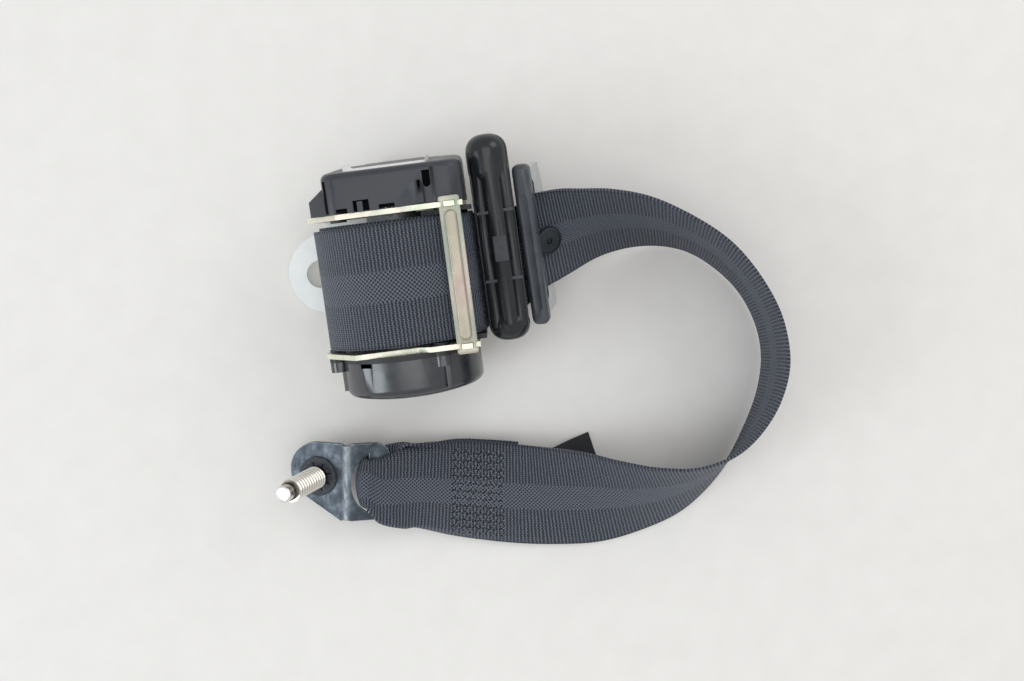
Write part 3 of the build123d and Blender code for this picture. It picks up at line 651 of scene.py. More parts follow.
def spring_cover():
    outer, base, radius = -44.75, -30.3, 28.0
    shell = rod("Y", radius, (outer, base), sides=112)
    round_edges(shell, 3.4, lambda a, b: a.y < outer + 0.1 and b.y < outer + 0.1 and (a - b).length < 3, 7)
    press(shell, lambda p, n: n.y < -0.95 and p.y < outer + 0.1, 5.0, (0, 0.6, 0))
    press(shell, lambda p, n: n.y < -0.95 and Vector((p.x, p.z)).length < 2, 9.0, (0, -0.5, 0))
    drop_faces(shell, lambda p, n: n.y > 0.95 and p.y > base - 0.1)
    thicken(shell, 1.5)
    cut(shell, block((-18.8, -14.2), (-32.0, base + 1), (16.0, 30.0)))
    for x, z in ((-29.6, 3.0), (13.7, 22.6), (20.0, -22.2)):
        angle = math.atan2(z, x)
        boss = rod("Y", 3.8, (-34.3, base), (x, z), 32)
        rib = block((26.8, 29.2), (-42.6, base), (-0.9, 0.9))
        rib.data.transform(Matrix.Rotation(-angle, 4, "Y"))
        recess = rod("Y", 1.9, (-35.0, -33.2), (x, z), 24)
        cut(boss, rod("Y", 26.6, (-50.0, 0.0), sides=112), recess)
        join(shell, boss, rib)
    soften(shell, 0.3, 2)
    nodes = ["spring_cover"]
    finish_piece(shell, "spring_cover_shell", retractor, "retractor", nodes, "gloss_black", gloss_black)


def tie_bar():
    under, top = 27.6, 29.4
    bar = block((20.0, 28.0), (-30.25, 30.25), (under, top))
    round_edges(bar, 1.0, lambda a, b: abs(a.z - b.z) > 1, 3)
    emboss = hull(*(rod("Z", 2.35, (top - 0.6, top + 0.95), (24.0, end), 32) for end in (22.6, -22.6)))
    round_edges(emboss, 0.85, above(top + 0.9), 4)
    join(bar, emboss)
    for side in (-1, 1):
        low, high = sorted((side * 26.15, side * 28.35))
        for across in ((21.7, 26.3), (19.0, 20.9), (27.1, 29.0)):
            cut(bar, block(across, (low, high), (26.0, 31.0)))
    soften(bar, 0.22, 2)
    two_finishes(bar, bar_zinc, rib_zinc, lambda p, n: p.z > top + 0.12)
    finish_piece(bar, "embossed_tie_bar", retractor, "retractor", ["tie_bar"], "yellow_zinc")


# Pillar loop and tongue

def pillar_loop_moulding():
    bar = hull(*(rod("X", 8.0, (-8.0, 8.0), (end, -1.5), 56) for end in (32.5, -32.5)))
    round_edges(bar, 5.6, lambda a, b: abs(a.x - b.x) < 0.1 and abs(a.x) > 7.9, 8)
    strap_room = block((-12.0, 0.0), (-46.0, 46.0), (-10.0, 10.0))
    lower_left = Matrix.Translation((-5.3 * mm, 0, -6.8 * mm))
    strap_room.data.transform(lower_left @ Matrix.Rotation(math.radians(-45), 4, "Y"))
    cut(bar, strap_room)
    shade = [rod("X", 8.0, (-4.5, 4.5), (side * 32.5, -1.5), 56) for side in (-1, 1)]
    shade += [rod("X", 10.0, (-4.5, 4.5), (side * 26.5, -18.5), 56) for side in (-1, 1)]
    shade.append(rod("X", 14.0, (-4.5, 4.5), (0.0, -38.0), 64))
    body = hull(*shade)
    round_edges(body, 1.8, lambda a, b: abs(a.x - b.x) < 0.1 and abs(a.x) > 4.4, 4)
    join(bar, body)
    ends = ((32.5, -11.0), (-32.5, -11.0), (28.5, -18.0), (-28.5, -18.0))
    opening = hull(*(rod("X", 3.0, (-20, 20), end, 24) for end in ends))
    cut(bar, opening, rod("X", 11.0, (-20, 20), (0.0, -38.0), 64))
    cut(bar, block((-12.0, 12.0), (-45.0, 45.0), (1.6, 9.0)))
    bulb = rod("Y", 8.2, (20.5, 40.8), (-0.1, -1.7), 64)
    round_edges(bulb, 6.6, lambda a, b: abs(a.y - b.y) < 0.1, 12)
    heel = rod("Y", 8.1, (-40.9, -28.5), (0.2, -2.0), 64)
    round_edges(heel, 6.0, lambda a, b: abs(a.y - b.y) < 0.1, 12)
    spine = rod("Y", 3.5, (-37.0, 31.0), (0.45, 3.0), 48)
    round_edges(spine, 3.2, lambda a, b: max(a.y, b.y) < -36.8, 8)
    left_wall = rod("Y", 2.4, (-35.0, 29.0), (-4.9, 1.9), 40)
    right_wall = rod("Y", 2.4, (-35.5, 28.0), (5.3, 1.9), 40)
    join(bar, bulb, heel, spine, left_wall, right_wall)
    pad = block((-2.1, 3.0), (-8.8, 1.1), (5.0, 7.0))
    cut(pad, block((-0.6, 1.2), (-4.9, -2.9), (6.8, 8.0)))
    ticks = [
        block((-7.0, -2.0), (9.9, 11.0), (1.0, 4.8)),
        block((2.6, 7.4), (10.2, 11.3), (1.0, 4.8)),
        block((-7.0, -2.0), (-16.9, -15.8), (1.0, 4.8)),
        block((2.6, 7.6), (-16.6, -15.5), (1.0, 4.8)),
    ]
    join(bar, pad, *ticks)
    soften(bar, 0.3, 2, 50)

    def matte_pad_and_lit_ticks(p, n):
        on_pad = p.z > 6.6 and -2.4 < p.x < 3.1 and -8.9 < p.y < 1.2
        # The ticks' tops take the paler finish as a painted highlight.
        on_tick = p.z > 4.6 and abs(p.x - 0.4) > 2.6 and (9.9 < p.y < 11.4 or -17.0 < p.y < -15.4)
        return on_pad or on_tick

    two_finishes(bar, loop_black, pad_matte_and_tick_highlight, matte_pad_and_lit_ticks)
    nodes = ["pillar_loop_cover"]
    finish_piece(bar, "pillar_loop_moulding", pillar_loop, "pillar_loop", nodes, "black_plastic")


def tongue_grip():
    grip = block((-4.0, 3.3), (-32.7, 32.7), (-3.5, 3.5))
    soften(grip, 2.6, 7)
    scoop = hull(*(rod("X", 1.7, (-6.0, -3.55), (end, 0.1), 24) for end in (19.0, -25.0)))
    seams = [block((0.35, 0.6), (-28.0, 28.0), depth) for depth in ((3.25, 5.0), (-5.0, -3.25))]
    cut(grip, scoop, *seams)
    soften(grip, 0.25, 2, 50)
    finish_piece(grip, "tongue_grip_moulding", tongue, "tongue", ["tongue_grip"], "black_plastic", grip_black)


# Anchor

def anchor_plate():
    """Pressed in the strap plate's own axes, then bent down along the fold a little at a time."""
    top, under = 0.0, -3.0
    neck = block((-1.2, 0.6), (-17.0, 17.0), (under, top))
    near = hull(neck, rod("Z", 12.8, (under, top), (-13.0, 3.8), 72))
    far = block((-0.4, 19.0), (-17.0, 17.0), (under, top))
    round_edges(far, 6.0, lambda a, b: abs(a.z - b.z) > 1 and a.x > 18, 8)
    plate = join(near, far)
    slot = rod("Z", 15.5, (-6, 3), (17.9, -0.6), 128)
    cut(slot, block((9.8, 40.0), (-20.0, 20.0), (-7.0, 4.0)))
    cut(plate, slot)
    cut(plate, rod("Z", 5.2, (-6, 3), (-13.0, 2.0), 48))
    notches = [rod("Z", 2.6, (-6, 3), (0.4, 18.6), 24), rod("Z", 4.0, (-6, 3), (0.2, -20.4), 24)]
    cut(plate, *notches)
    choose(plate)
    bpy.ops.object.mode_set(mode="EDIT")
    for x in (-2.4, -1.6, -0.8, 0.0, 0.8, 1.6, 2.2):
        bpy.ops.mesh.select_mode(type="FACE")
        bpy.ops.mesh.select_all(action="SELECT")
        bpy.ops.mesh.bisect(plane_co=(x * mm, 0, 0), plane_no=(1, 0, 0), use_fill=False)
    leave()
    two_finishes(plate, phosphate, scuffed)
    soften(plate, 0.5, 3, 40, finish=1)
    # A painted highlight along the top of the fold, strongest just past its line.
    fold_highlight = plate.data.attributes.new("fold_highlight", "FLOAT", "POINT")
    for vert, spot in zip(plate.data.vertices, fold_highlight.data):
        spot.value = math.exp(-((vert.co.x / mm - 0.4) ** 2)) if vert.co.z > -0.4 * mm else 0.0
    fold, steps = 37.5, 5
    for step in range(steps):
        hinge = 1.6 - step * 0.8
        pick(plate, "VERT", lambda p: p.x < hinge - 0.001)
        line = (hinge * mm, 0, (under + top) / 2 * mm)
        bpy.ops.transform.rotate(value=math.radians(fold / steps), orient_axis="Y", center_override=line)
        leave()
    nodes = ["anchor_plate"]
    finish_piece(plate, "anchor_plate_pressing", strap_plate, "anchor", nodes, "anchor_steel", smooth=40)


def bolt_thread(low, high):
    """One turn's profile, screwed up along the axis and trimmed flat at both ends."""
    choose()
    bpy.ops.mesh.primitive_grid_add(x_subdivisions=1, y_subdivisions=4, size=1.0)
    screw = bpy.context.object
    radius, pitch = bolt_radius, thread_pitch
    root = radius - 0.62 * pitch
    heights = (0.0, 0.08, 0.46, 0.62, 1.0)
    reaches = (root, root, radius, radius, root)
    pick(screw, "VERT", lambda p: p.x > 0)
    bpy.ops.mesh.delete(type="VERT")
    leave()
    for vert in screw.data.vertices:
        level = round((vert.co.y + 0.5) * 4)
        vert.co = (reaches[level] * mm, 0.0, (low - pitch + heights[level] * pitch) * mm)
    turns = {"iterations": int((high - low) / pitch) + 3, "steps": 40, "render_steps": 40}
    merge = {"use_merge_vertices": True, "merge_threshold": same_point}
    shape_with(screw, "SCREW", axis="Z", angle=math.tau, screw_offset=pitch * mm, **turns, **merge)
    edit_all(screw)
    bpy.ops.mesh.remove_doubles(threshold=same_point)
    bpy.ops.mesh.normals_make_consistent(inside=False)
    for end, way in ((low, -1), (high, 1)):
        bpy.ops.mesh.select_all(action="SELECT")
        keep = {"clear_outer": True, "use_fill": True}
        bpy.ops.mesh.bisect(plane_co=(0, 0, end * mm), plane_no=(0, 0, way), **keep)
    leave()
    return screw


def anchor_bolt():
    screw = bolt_thread(*thread_span)
    # From root to crest: painted shade in the thread roots, painted highlight on the crests.
    thread_light = screw.data.attributes.new("thread_light", "FLOAT", "POINT")
    for vert, spot in zip(screw.data.vertices, thread_light.data):
        spot.value = min(1.0, max(0.0, (vert.co.xy.length / mm - 3.9) / 0.8))
    finish_piece(screw, "bolt_thread", bolt_axes, "bolt", ["anchor_bolt"], "bolt_steel", thread_steel(), 30)

    # The neck and the groove take the near-black steel as painted shade.
    for name, radius, span in (("bolt_neck", 4.2, (-4.0, 2.4)), ("bolt_groove", 3.9, (25.0, 26.8))):
        part = soften(rod("Z", radius, span, sides=40), 0.25, 2)
        finish_piece(part, name, bolt_axes, "bolt", ["anchor_bolt"], "bolt_steel", bolt_shadow)

    point = rod("Z", 3.5, (26.4, 30.5), sides=48)
    round_edges(point, 0.7, above(30.4), 4)
    press(point, lambda p, n: n.z > 0.95 and p.z > 30.4, 0.6, (0, 0, -0.12))
    # The end faces take the near-white steel as a painted highlight.
    two_finishes(point, bolt_steel, bolt_end_highlight, lambda p, n: n.z > 0.6)
    finish_piece(point, "bolt_dog_point", bolt_axes, "bolt", ["anchor_bolt"], "bolt_steel")

    head = rod("Z", 8.7, (-10.7, -3.4), sides=6)
    chamfer = rod("Z", 8.9, (-10.9, -3.0), sides=64)
    round_edges(chamfer, 1.3, below(-10.8), 3)
    combine(head, [chamfer], "INTERSECT")
    flange = rod("Z", 9.6, (-4.9, -3.1), sides=64)
    round_edges(flange, 0.6, below(-4.8), 3)
    join(head, flange)
    press(head, lambda p, n: n.z < -0.95 and p.z < -10.6, 3.4, (0, 0, 0.7))
    soften(head, 0.25, 2)
    finish_piece(head, "bolt_head", bolt_axes, "bolt", ["anchor_bolt"], "bolt_steel", bolt_steel)


def bolt_retainer():
    ring = rod("Z", 8.6, (0.1, 1.3), sides=72)
    cut(ring, rod("Z", 4.35, (-1, 3), sides=40))
    slits = 8
    for number in range(slits):
        slit = block((3.9, 6.5), (-0.35, 0.35), (-1.0, 3.0))
        slit.data.transform(Matrix.Rotation(math.tau * number / slits + 0.35, 4, "Z"))
        cut(ring, slit)
    soften(ring, 0.2, 2)
    finish_piece(ring, "bolt_retainer_washer", bolt_axes, "bolt", ["bolt_retainer"], "retainer_fibre", fibre)


# The strap: a section is set at each station and carried smoothly from one to the next

def point_of(place):
    return Vector(place) * mm + shift


def station(upper, lower, crown=0.0, lip=4.0, fold=0.0, bend=2.0):
    """One section: its two edges, how far it bulges, and how much of each edge folds under."""
    upper, lower = Vector(upper), Vector(lower)
    half = (upper - lower).length / 2 / mm
    return [*((upper + lower) / 2), *((upper - lower).normalized()), half, crown, lip, fold, bend]


def in_axes(axes, x, y, z):
    return axes @ Vector((x * mm, y * mm, z * mm))


# The web's upper and lower edge at each station, in mm from the spot under the camera
web_edges = [
    ((-14.1, 46.5, 45.8), (-8.7, 7.2, 40.2)), ((-11.0, 47.8, 43.5), (-5.6, 8.2, 37.9)),
    ((-6.3, 49.6, 42.4), (-0.9, 9.4, 36.7)), ((1.4, 54.3, 43.5), (7.0, 15.4, 34.8)),
    ((6.8, 58.3, 46.0), (13.4, 21.9, 32.6)), ((12.4, 59.3, 48.2), (20.0, 26.0, 26.2)),
    ((25.0, 60.0, 50.0), (34.0, 35.0, 12.0)), ((39.2, 60.3, 47.0), (48.4, 40.7, 5.0)),
    ((55.5, 57.5, 45.5), (63.5, 42.5, 1.4)), ((71.4, 50.3, 46.2), (76.8, 40.2, 0.9)),
    ((88.0, 39.0, 46.9), (91.0, 31.8, 0.8)), ((100.4, 23.8, 47.3), (102.0, 20.2, 0.8)),
    ((108.7, 6.2, 47.4), (109.5, 3.8, 0.8)), ((110.7, -9.8, 47.5), (111.0, -9.5, 0.8)),
    ((107.5, -23.5, 47.4), (109.0, -22.5, 0.8)), ((99.2, -37.4, 47.3), (103.5, -37.5, 0.8)),
    ((89.3, -46.3, 46.6), (96.4, -51.7, 0.8)), ((75.7, -51.7, 44.4), (87.5, -63.7, 0.8)),
    ((60.3, -52.4, 39.0), (74.6, -75.3, 0.8)), ((44.8, -50.4, 31.4), (56.8, -83.7, 0.8)),
    ((28.9, -47.4, 21.0), (37.7, -89.0, 0.9)), ((15.0, -46.4, 14.2), (20.5, -90.1, 1.5)),
    ((2.5, -45.5, 10.8), (3.5, -89.6, 2.6)), ((-12.0, -44.7, 10.0), (-12.5, -88.0, 3.6)),
    ((-25.0, -44.6, 10.6), (-26.5, -86.0, 4.6)), ((-38.0, -45.8, 12.0), (-40.5, -83.0, 6.6)),
]

# Where the web leaves the roll: angle round it and slip sideways
roll_leave = ((50.0, -0.7), (40.0, -0.7), (30.0, -0.6), (20.0, -0.4), (12.0, -0.2))

# Crown, lip, fold and bend where the web is sewn: its upper layer, then its lower one with the gap
sewn_upper = {
    21: (0.6, 4.0, 8.0, 2.0), 22: (1.6, 4.2, 16.0, 2.0), 23: (2.6, 4.5, 26.0, 2.0),
    24: (2.8, 5.0, 38.0, 2.2), 25: (2.0, 6.0, 62.0, 2.2),
}
sewn_lower = {
    25: (0.0, 5.0, 30.0, 1.8, 3.0), 24: (-2.6, 5.0, -22.0, 1.2, 1.5),
    23: (-2.5, 4.5, -20.0, 1.2, 1.4), 22: (-1.6, 4.2, -14.0, 1.2, 1.4),
}

# On the anchor plate, to its slot and back: place, level, half width, lip, fold, bend and side shift
to_slot = (
    (22.5, 3.0, 16.7, 7.8, 112.0, 1.9, -3.8), (18.0, 2.9, 15.3, 9.2, 135.0, 1.7, -4.0),
    (13.9, 2.8, 13.8, 10.8, 160.0, 1.4, -3.6), (11.0, 2.7, 12.0, 12.4, 176.0, 1.0, -1.9),
)
slot_middle, slot_reach = (9.4, -1.5), (2.1, 4.1)
round_slot = ((100, 0.6), (128, 1.4), (155, 2.0), (180, 2.2), (205, 2.0), (232, 1.4), (260, 0.6))
from_slot = (
    (13.0, -5.6, 13.4, 11.6, 172.0, 1.1, -0.8), (18.0, -5.5, 15.6, 9.0, 160.0, 1.2, -1.2),
    (22.5, -5.2, 16.9, 7.4, 140.0, 1.2, -1.6),
)


def plate_station(x, level, half, lip, fold, bend, y, bow=0.0):
    upper = in_axes(strap_plate, x, y + half, level)
    lower = in_axes(strap_plate, x, y - half, level)
    return station(upper, lower, bow, lip, fold, bend)


def strap_stations():
    made = []
    for angle, slip in roll_leave:
        x = turn_outer_radius * math.cos(math.radians(angle))
        z = turn_outer_radius * math.sin(math.radians(angle))
        edges = [in_axes(retractor, x, side * strap_width / 2 + slip, z) for side in (1, -1)]
        made.append(station(*edges))
    for number, (upper, lower) in enumerate(web_edges):
        made.append(station(point_of(upper), point_of(lower), *sewn_upper.get(number, ())))
    made += [plate_station(*row) for row in to_slot]
    for angle, bow in round_slot:
        x = slot_middle[0] + slot_reach[0] * math.cos(math.radians(angle))
        level = slot_middle[1] + slot_reach[1] * math.sin(math.radians(angle))
        made.append(plate_station(x, level, 10.3, 13.4, 180.0, 0.9, -0.4, bow))
    made += [plate_station(*row) for row in from_slot]
    for number, (*bulge, gap) in sewn_lower.items():
        upper, lower = (point_of(edge) for edge in web_edges[number])
        upper_next, lower_next = (point_of(edge) for edge in web_edges[number - 1])
        onward = (upper + lower - upper_next - lower_next).normalized()
        side = (upper - lower).normalized()
        down = -side.cross(onward).normalized() * gap * mm
        made.append(station(upper + down + side * 0.9 * mm, lower + down + side * 0.9 * mm, *bulge))
    return made


def smooth_line(keys, spacing):
    """Carries every value from key to key on one smooth curve, in steps of about this spacing."""
    steps = [0.0]
    for a, b in zip(keys, keys[1:]):
        steps.append(steps[-1] + math.dist(a[:3], b[:3]))
    slopes = []
    for i in range(len(keys)):
        if i == 0 or i == len(keys) - 1:
            j, k = (0, 1) if i == 0 else (i - 1, i)
            slopes.append([(b - a) / (steps[k] - steps[j]) for a, b in zip(keys[j], keys[k])])
        else:
            before, after = steps[i] - steps[i - 1], steps[i + 1] - steps[i]
            row = []
            for a, b, c in zip(keys[i - 1], keys[i], keys[i + 1]):
                row.append(((b - a) / before * after + (c - b) / after * before) / (before + after))
            slopes.append(row)
    rows = []
    for i in range(len(keys) - 1):
        span = steps[i + 1] - steps[i]
        count = max(2, math.ceil(span / spacing))
        for part in range(count):
            t = part / count
            weights = (2 * t**3 - 3 * t**2 + 1, t**3 - 2 * t**2 + t, 3 * t**2 - 2 * t**3, t**3 - t**2)
            row = []
            for a, b, ma, mb in zip(keys[i], keys[i + 1], slopes[i], slopes[i + 1]):
                here, there = weights[0] * a + weights[1] * span * ma, weights[2] * b
                row.append(here + there + weights[3] * span * mb)
            rows.append(row)
    rows.append(list(keys[-1]))
    return rows


flat_steps, bend_steps, lip_steps = 22, 7, 5


def across_strap(lip, fold, bend):
    """Places across the web, from its middle to one edge, in flat mm."""
    flat = strap_width / 2 - lip
    turn = min(lip, bend * math.radians(abs(fold))) if abs(fold) > 3 else lip * 0.5
    half = [flat * i / (flat_steps // 2) for i in range(flat_steps // 2 + 1)]
    half += [flat + turn * i / bend_steps for i in range(1, bend_steps + 1)]
    half += [flat + turn + (lip - turn) * i / lip_steps for i in range(1, lip_steps + 1)]
    return half


def section(place, lip, fold, bend):
    """How far out and how deep one place across the web lies once its edge is folded under."""
    flat = strap_width / 2 - lip
    angle = math.radians(abs(fold))
    sign = 1.0 if fold >= 0 else -1.0
    if place <= flat or angle < 0.02:
        return place, 0.0
    turned = min((place - flat) / bend, angle)
    out = flat + bend * math.sin(turned)
    depth = bend * (1 - math.cos(turned))
    rest = place - flat - bend * turned
    return out + rest * math.cos(turned), (depth + rest * math.sin(turned)) * sign


def sections(rows):
    """For each row: its points from the lower edge to the upper one, and their places across."""
    made = []
    for i, row in enumerate(rows):
        before, after = rows[max(0, i - 1)], rows[min(len(rows) - 1, i + 1)]
        onward = (Vector(after[:3]) - Vector(before[:3])).normalized()
        side = Vector(row[3:6]).normalized()
        normal = side.cross(onward).normalized()
        half, crown, lip, fold, bend = row[6:]
        places = across_strap(lip, fold, bend)
        spots = [section(place, lip, fold, bend) for place in places]
        reach = max(out for out, _ in spots)
        scale = half / reach
        centre = Vector(row[:3])
        right = []
        for (out, depth), place in zip(spots, places):
            bulge = crown * (1 - (out / reach) ** 2)
            right.append((out * scale, bulge - depth, place))
        line = [(-out, rise, -place) for out, rise, place in reversed(right[1:])] + right
        points = [centre + side * out * mm + normal * rise * mm for out, rise, _ in line]
        made.append((points, [place for _, _, place in line]))
    return made


def sheet_from(name, made, width, map_name, wall, material):
    """A thick quad sheet from rows of points, with a UV map in metres of flat cloth."""
    lengths = distances(made)
    mesh = bpy.data.meshes.new(name)
    count = len(made[0][0])
    points = [point for row, _ in made for point in row]
    faces = []
    for i in range(len(made) - 1):
        for j in range(count - 1):
            a = i * count + j
            faces.append((a, a + count, a + count + 1, a + 1))
    mesh.from_pydata(points, [], faces)
    layer = mesh.uv_layers.new(name=map_name)
    for face in mesh.polygons:
        for loop in face.loop_indices:
            row, column = divmod(mesh.loops[loop].vertex_index, count)
            layer.data[loop].uv = ((made[row][1][column] + width / 2) * mm, lengths[row])
    piece = thicken(put(name, mesh), wall, 0.0)
    piece.data.materials.append(material)
    for face in piece.data.polygons:
        face.use_smooth = True
    return piece, lengths


def distances(made):
    middle = len(made[0][0]) // 2
    lengths = [0.0]
    for (before, _), (after, _) in zip(made, made[1:]):
        lengths.append(lengths[-1] + (after[middle] - before[middle]).length)
    return lengths


def strap():
    rows = smooth_line(strap_stations(), 1.6 * mm)
    made = sections(rows)
    weave = belt_weave("belt_weave", "belt")
    piece, lengths = sheet_from("strap_webbing", made, strap_width, "belt", strap_thickness, weave)
    nodes = ["webbing", "webbing_tail", "webbing_loop"]
    finish_piece(piece, "strap_webbing", None, "retractor", nodes, "webbing", smooth=50)
    return piece, made, lengths


steps_per_turn = 72


def reel_turns():
    """The web wound on its spool, each turn's edge a little off the next."""
    turns = (turn_outer_radius - turn_inner_radius) / turn_pitch
    steps = int(turns * steps_per_turn)
    made = []
    for i in range(steps + 1):
        turn = turns * i / steps
        left = turns - turn
        angle = math.radians(50.0) + left * math.tau
        radius = turn_outer_radius - turn_pitch * left
        slip = 0.32 * math.sin(1.9 * turn) + 0.22 * math.sin(4.3 * turn + 1.0)
        last = min(1.0, max(0.0, (left - 1.3) / 0.35))
        slip = slip * last - 0.7 * (1 - last) + 0.15 * last
        places = [strap_width * (j / 12 - 0.5) for j in range(13)]
        row = []
        for place in places:
            edge = abs(place) / (strap_width / 2)
            sag = 0.10 * math.sin(turn * 3.3) * edge**4
            x, z = (radius - sag) * math.cos(angle), (radius - sag) * math.sin(angle)
            row.append(in_axes(retractor, x, place + slip, z))
        made.append((row, places))
    weave = belt_weave("wound_belt_weave", "belt", 0.95)
    piece, lengths = sheet_from("reel_webbing_turns", made, strap_width, "belt", turn_thickness, weave)
    finish_piece(piece, "reel_webbing_turns", None, "reel", ["webbing_roll"], "webbing", smooth=50)


# The strap's rows before this one are short of its far turn
rows_to_turn = 101


def length_where(made, lengths, x):
    """How far along the strap its middle first passes x, in mm, on the way back to the anchor."""
    for (points, _), length in list(zip(made, lengths))[rows_to_turn:]:
        if points[len(points) // 2].x < point_of((x, 0, 0)).x:
            return length


def spot_on_strap(made, lengths, along, across):
    """A place on the strap's upper side and its axes: along, across and out."""
    row = min(range(len(lengths)), key=lambda i: abs(lengths[i] - along))
    row = min(max(row, 1), len(lengths) - 2)
    points, places = made[row]
    column = min(range(len(places)), key=lambda j: abs(places[j] - across))
    column = min(max(column, 1), len(places) - 2)
    share = (across - places[column]) / (places[column + 1] - places[column] or 1)
    place = points[column].lerp(points[column + 1], share)
    onward = (made[row + 1][0][column] - made[row - 1][0][column]).normalized()
    place = place + onward * (along - lengths[row])
    sideways = (points[column + 1] - points[column - 1]).normalized()
    out = sideways.cross(onward).normalized()
    return place, onward, sideways, out


def add_strand(mesh, points, radius, sides=6):
    """A short thread through a few points, closed at both ends."""
    rings = []
    for i, point in enumerate(points):
        onward = (points[min(i + 1, len(points) - 1)] - points[max(i - 1, 0)]).normalized()
        first = onward.orthogonal().normalized()
        second = onward.cross(first)
        size = radius * (0.45 if i in (0, len(points) - 1) else 1.0)
        ring = []
        for k in range(sides):
            angle = math.tau * k / sides
            away = first * math.cos(angle) + second * math.sin(angle)
            ring.append(mesh.verts.new(point + away * size))
        rings.append(ring)
    for a, b in zip(rings, rings[1:]):
        for k in range(sides):
            mesh.faces.new((a[k], a[(k + 1) % sides], b[(k + 1) % sides], b[k]))
    mesh.faces.new(list(reversed(rings[0])))
    mesh.faces.new(rings[-1])


hole_sides = 8


def add_hole(mesh, centre, way, sideways, out):
    """A needle hole: a small cone, point inwards, near-black as painted shade inside the hole."""
    ring = []
    for k in range(hole_sides):
        angle = math.tau * k / hole_sides
        round_place = way * 0.52 * math.cos(angle) + sideways * 0.48 * math.sin(angle)
        ring.append(mesh.verts.new(centre + round_place * mm))
    tip = mesh.verts.new(centre - out * 0.5 * mm)
    for k in range(hole_sides):
        mesh.faces.new((ring[k], ring[(k + 1) % hole_sides], tip))
    mesh.faces.new(list(reversed(ring)))


stitch_columns, stitch_rows = 10, 23
stitch_half = 0.62 * mm
loose_ends = 5


def anchor_stitches(made, lengths, start, end):
    """Rows of box stitching through both layers, with the needle holes beside each stitch."""
    stitches = bmesh.new()
    holes = bmesh.new()
    half = stitch_half
    for i in range(stitch_columns):
        for j in range(stitch_rows):
            along = start + (end - start) * (i + 0.25 + 0.5 * (j % 2)) / stitch_columns
            across = -19.3 + 38.6 * j / (stitch_rows - 1) + 0.35 * math.sin(i * 2.3 + j * 1.7)
            place, onward, sideways, out = spot_on_strap(made, lengths, along, across)
            top = place + out * 0.55 * mm
            lean = 0.5 * math.sin(i * 1.3 + j * 2.1)
            way = (onward + sideways * (0.55 + 0.3 * lean) * (1 if j % 2 else -1)).normalized()
            strand = [top - way * half - out * 0.25 * mm, top - way * half * 0.5 + out * 0.16 * mm]
            strand += [top + way * half * 0.5 + out * 0.16 * mm, top + way * half - out * 0.25 * mm]
            add_strand(stitches, strand, 0.24 * mm)
            centre = top + way * (half + 0.35 * mm) + out * 0.09 * mm
            add_hole(holes, centre, way, sideways, out)
    place, onward, sideways, out = spot_on_strap(made, lengths, start + (end - start) * 0.72, -19.0)
    for k in range(loose_ends):
        swing = math.tau * k / loose_ends
        away = onward * math.cos(swing) + sideways * math.sin(swing)
        reaches = ((0.5, 0.0), (1.3, 0.9), (0.7, 2.3))
        strand = [place + out * up * mm + away * far * mm for up, far in reaches]
        add_strand(stitches, strand, 0.22 * mm)
    pieces = []
    sewn = ((stitches, "anchor_stitches", thread), (holes, "anchor_stitch_holes", stitch_hole_shade))
    for source, name, material in sewn:
        bmesh.ops.recalc_face_normals(source, faces=source.faces)
        mesh = bpy.data.meshes.new(name)
        source.to_mesh(mesh)
        source.free()
        mesh.materials.append(material)
        pieces.append(finish_piece(put(name, mesh), name, None, "retractor", [], "webbing", smooth=60))
    return pieces


def strap_button():
    """The stop button that keeps the tongue up: a rimmed front disc and a small back disc."""
    upper, lower = (point_of(edge) for edge in web_edges[5])
    before, after = web_edges[4], web_edges[6]
    ahead, behind = (point_of(pair[0]) + point_of(pair[1]) for pair in (after, before))
    onward = (ahead - behind).normalized()
    side = (upper - lower).normalized()
    onward = (onward - side * onward.dot(side)).normalized()
    out = -side.cross(onward)
    axes = Matrix.Identity(4)
    axes.col[0].xyz, axes.col[1].xyz, axes.col[2].xyz = side, out.cross(side), out
    axes.col[3].xyz = (upper + lower) / 2 - onward * math.copysign(2.8 * mm, onward.x)
    front = rod("Z", 5.9, (1.5, 3.3), sides=64)
    round_edges(front, 0.5, above(3.2), 3)
    press(front, lambda p, n: n.z > 0.95 and p.z > 3.2, 0.7, (0, 0, -0.45))
    for inset, lift in ((3.3, 0.25), (0.7, -1.1)):
        press(front, lambda p, n: n.z > 0.95 and p.xy.length < 2, inset, (0, 0, lift))
    join(front, block((-1.2, 1.2), (-0.25, 0.25), (1.8, 2.6)))
    soften(front, 0.12, 2)
    finish = ("black_plastic", button_black)
    finish_piece(front, "stop_button_front", axes, "retractor", ["button_front"], *finish)
    back = rod("Z", 4.0, (-2.7, -1.5), sides=48)
    round_edges(back, 0.5, below(-2.6), 3)
    press(back, lambda p, n: n.z < -0.95 and p.z < -2.6, 1.2, (0, 0, 0.3))
    join(back, rod("Z", 1.45, (-1.7, 1.7), sides=24))
    finish_piece(back, "stop_button_back", axes, "retractor", ["button_back"], *finish)
    return [front, back]


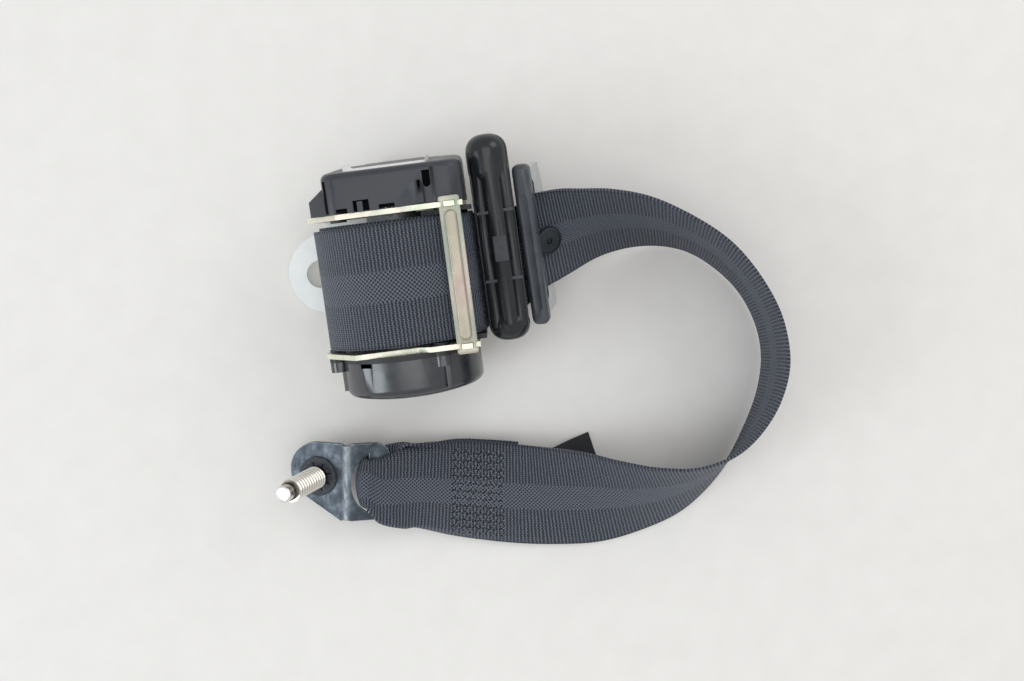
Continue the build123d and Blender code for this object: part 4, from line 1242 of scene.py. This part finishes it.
def cloth_tab():
    """A short plain tab sewn under the strap, its free end lying on the floor."""
    lengthwise = Vector((math.cos(math.radians(19.0)), math.sin(math.radians(19.0)), 0))
    keys = []
    places_and_tilts = (
        (15.8, -58.0, 9.1, 0.27), (22.0, -55.6, 6.4, 0.22),
        (29.0, -53.0, 2.9, 0.09), (37.0, -50.0, 0.45, 0.0),
    )
    for x, y, z, tilt in places_and_tilts:
        side = Vector((-lengthwise.y, lengthwise.x, tilt)).normalized()
        keys.append([*point_of((x, y, z)), *side, 10.0])
    rows = smooth_line(keys, 0.8 * mm)
    made = []
    for number, row in enumerate(rows):
        places = [tab_width * (j / 16 - 0.5) for j in range(17)]
        centre, side = Vector(row[:3]), Vector(row[3:6])
        share = number / (len(rows) - 1)
        points = []
        for place in places:
            wave = 0.35 * math.sin(place * 0.5 + share * 3.0) * math.sin(math.pi * share)
            points.append(centre + side * place * mm + Vector((0, 0, wave * mm)))
        made.append((points, places))
    piece, lengths = sheet_from("cloth_tab", made, tab_width, "tab", tab_thickness, tab_cloth())
    finish_piece(piece, "cloth_tab", None, "retractor", ["blank_tab"], "tab_fabric", smooth=50)
    return piece


# Scene

def studio():
    camera = put("camera", bpy.data.cameras.new("camera"))
    camera.location = point_of((0.0, 0.0, camera_height))
    camera.data.lens = 37.16
    camera.data.sensor_width = 36.0
    camera.data.sensor_fit = "HORIZONTAL"
    camera.data.clip_start = 0.01
    camera.data.clip_end = 20.0
    bpy.context.scene.camera = camera

    choose()
    bpy.ops.mesh.primitive_plane_add(size=6.0, location=(0, 0, -0.0005))
    floor = bpy.context.object
    floor.name = "floor"
    material = surface("pale_floor", (0.86, 0.835, 0.80), 0.9, specular=0.1)
    mottle = cloud(material, on_object(material), 14.0, 6.0)
    colour_by(material, mottle, [(0.3, (0.835, 0.815, 0.785)), (0.7, (0.865, 0.845, 0.815))])
    floor.data.materials.append(material)

    world = bpy.data.worlds.new("soft room")
    world.use_nodes = True
    sky = world.node_tree.nodes["Background"]
    sky.inputs["Color"].default_value = (0.98, 0.99, 1.0, 1.0)
    sky.inputs["Strength"].default_value = 0.65
    bpy.context.scene.world = world
    lamps = (
        ("window_light", (-1.45, -0.50, 0.85), 0.75, 7.5, (0.86, 0.94, 1.0)),
        ("overhead", (0.0, -0.1, 1.5), 1.1, 4.5, (1.0, 1.0, 1.0)),
        ("side_strip", (0.9, 0.9, 1.0), 0.8, 3.8, (1.0, 1.0, 1.0)),
    )
    for name, place, size, power, tint in lamps:
        lamp = put(name, bpy.data.lights.new(name, "AREA"))
        lamp.data.size = size
        lamp.data.energy = power
        lamp.data.color = tint
        lamp.location = place
        lamp.rotation_mode = "QUATERNION"
        lamp.rotation_quaternion = (Vector((0, 0, 0.03)) - Vector(place)).to_track_quat("-Z", "Y")
    bpy.context.scene.view_settings.view_transform = "Standard"


def dress_carried_nodes():
    steel = ("web_pin", "torsion_bar", "ratchet_wheel", "lock_pawl", "pawl_pin", "lever_axle")
    finishes = (
        (zinc_with_painted_reflection, "frame_base"),
        (passivated, "mechanism_cheek", "spring_cheek"),
        (inner_black, "web_guide", "bearing_carrier", "spring_backplate", "push_pins"),
        (cast_alloy, "spool"),
        (bare_steel, *steel, "pillar_loop_plate"),
        (white_nylon, "lock_gear", "sensor_cup", "sensor_lever", "spring_core"),
        (chrome, "sensor_ball", "tongue_plate"),
        (spring_steel, "spiral_spring"),
    )
    for finish, *names in finishes:
        for name in names:
            part = frame["nodes"][name]
            part.data.materials.clear()
            part.data.materials.append(finish)


studio()
dress_carried_nodes()
mechanism_cover()
spring_cover()
tie_bar()
pillar_loop_moulding()
tongue_grip()
anchor_plate()
anchor_bolt()
bolt_retainer()
strap_piece, strap_rows, strap_lengths = strap()
reel_turns()
buttons = strap_button()
tab = cloth_tab()
sewn_ends = [length_where(strap_rows, strap_lengths, x) for x in (-3.0, -25.0)]
stitching = anchor_stitches(strap_rows, strap_lengths, *sewn_ends)
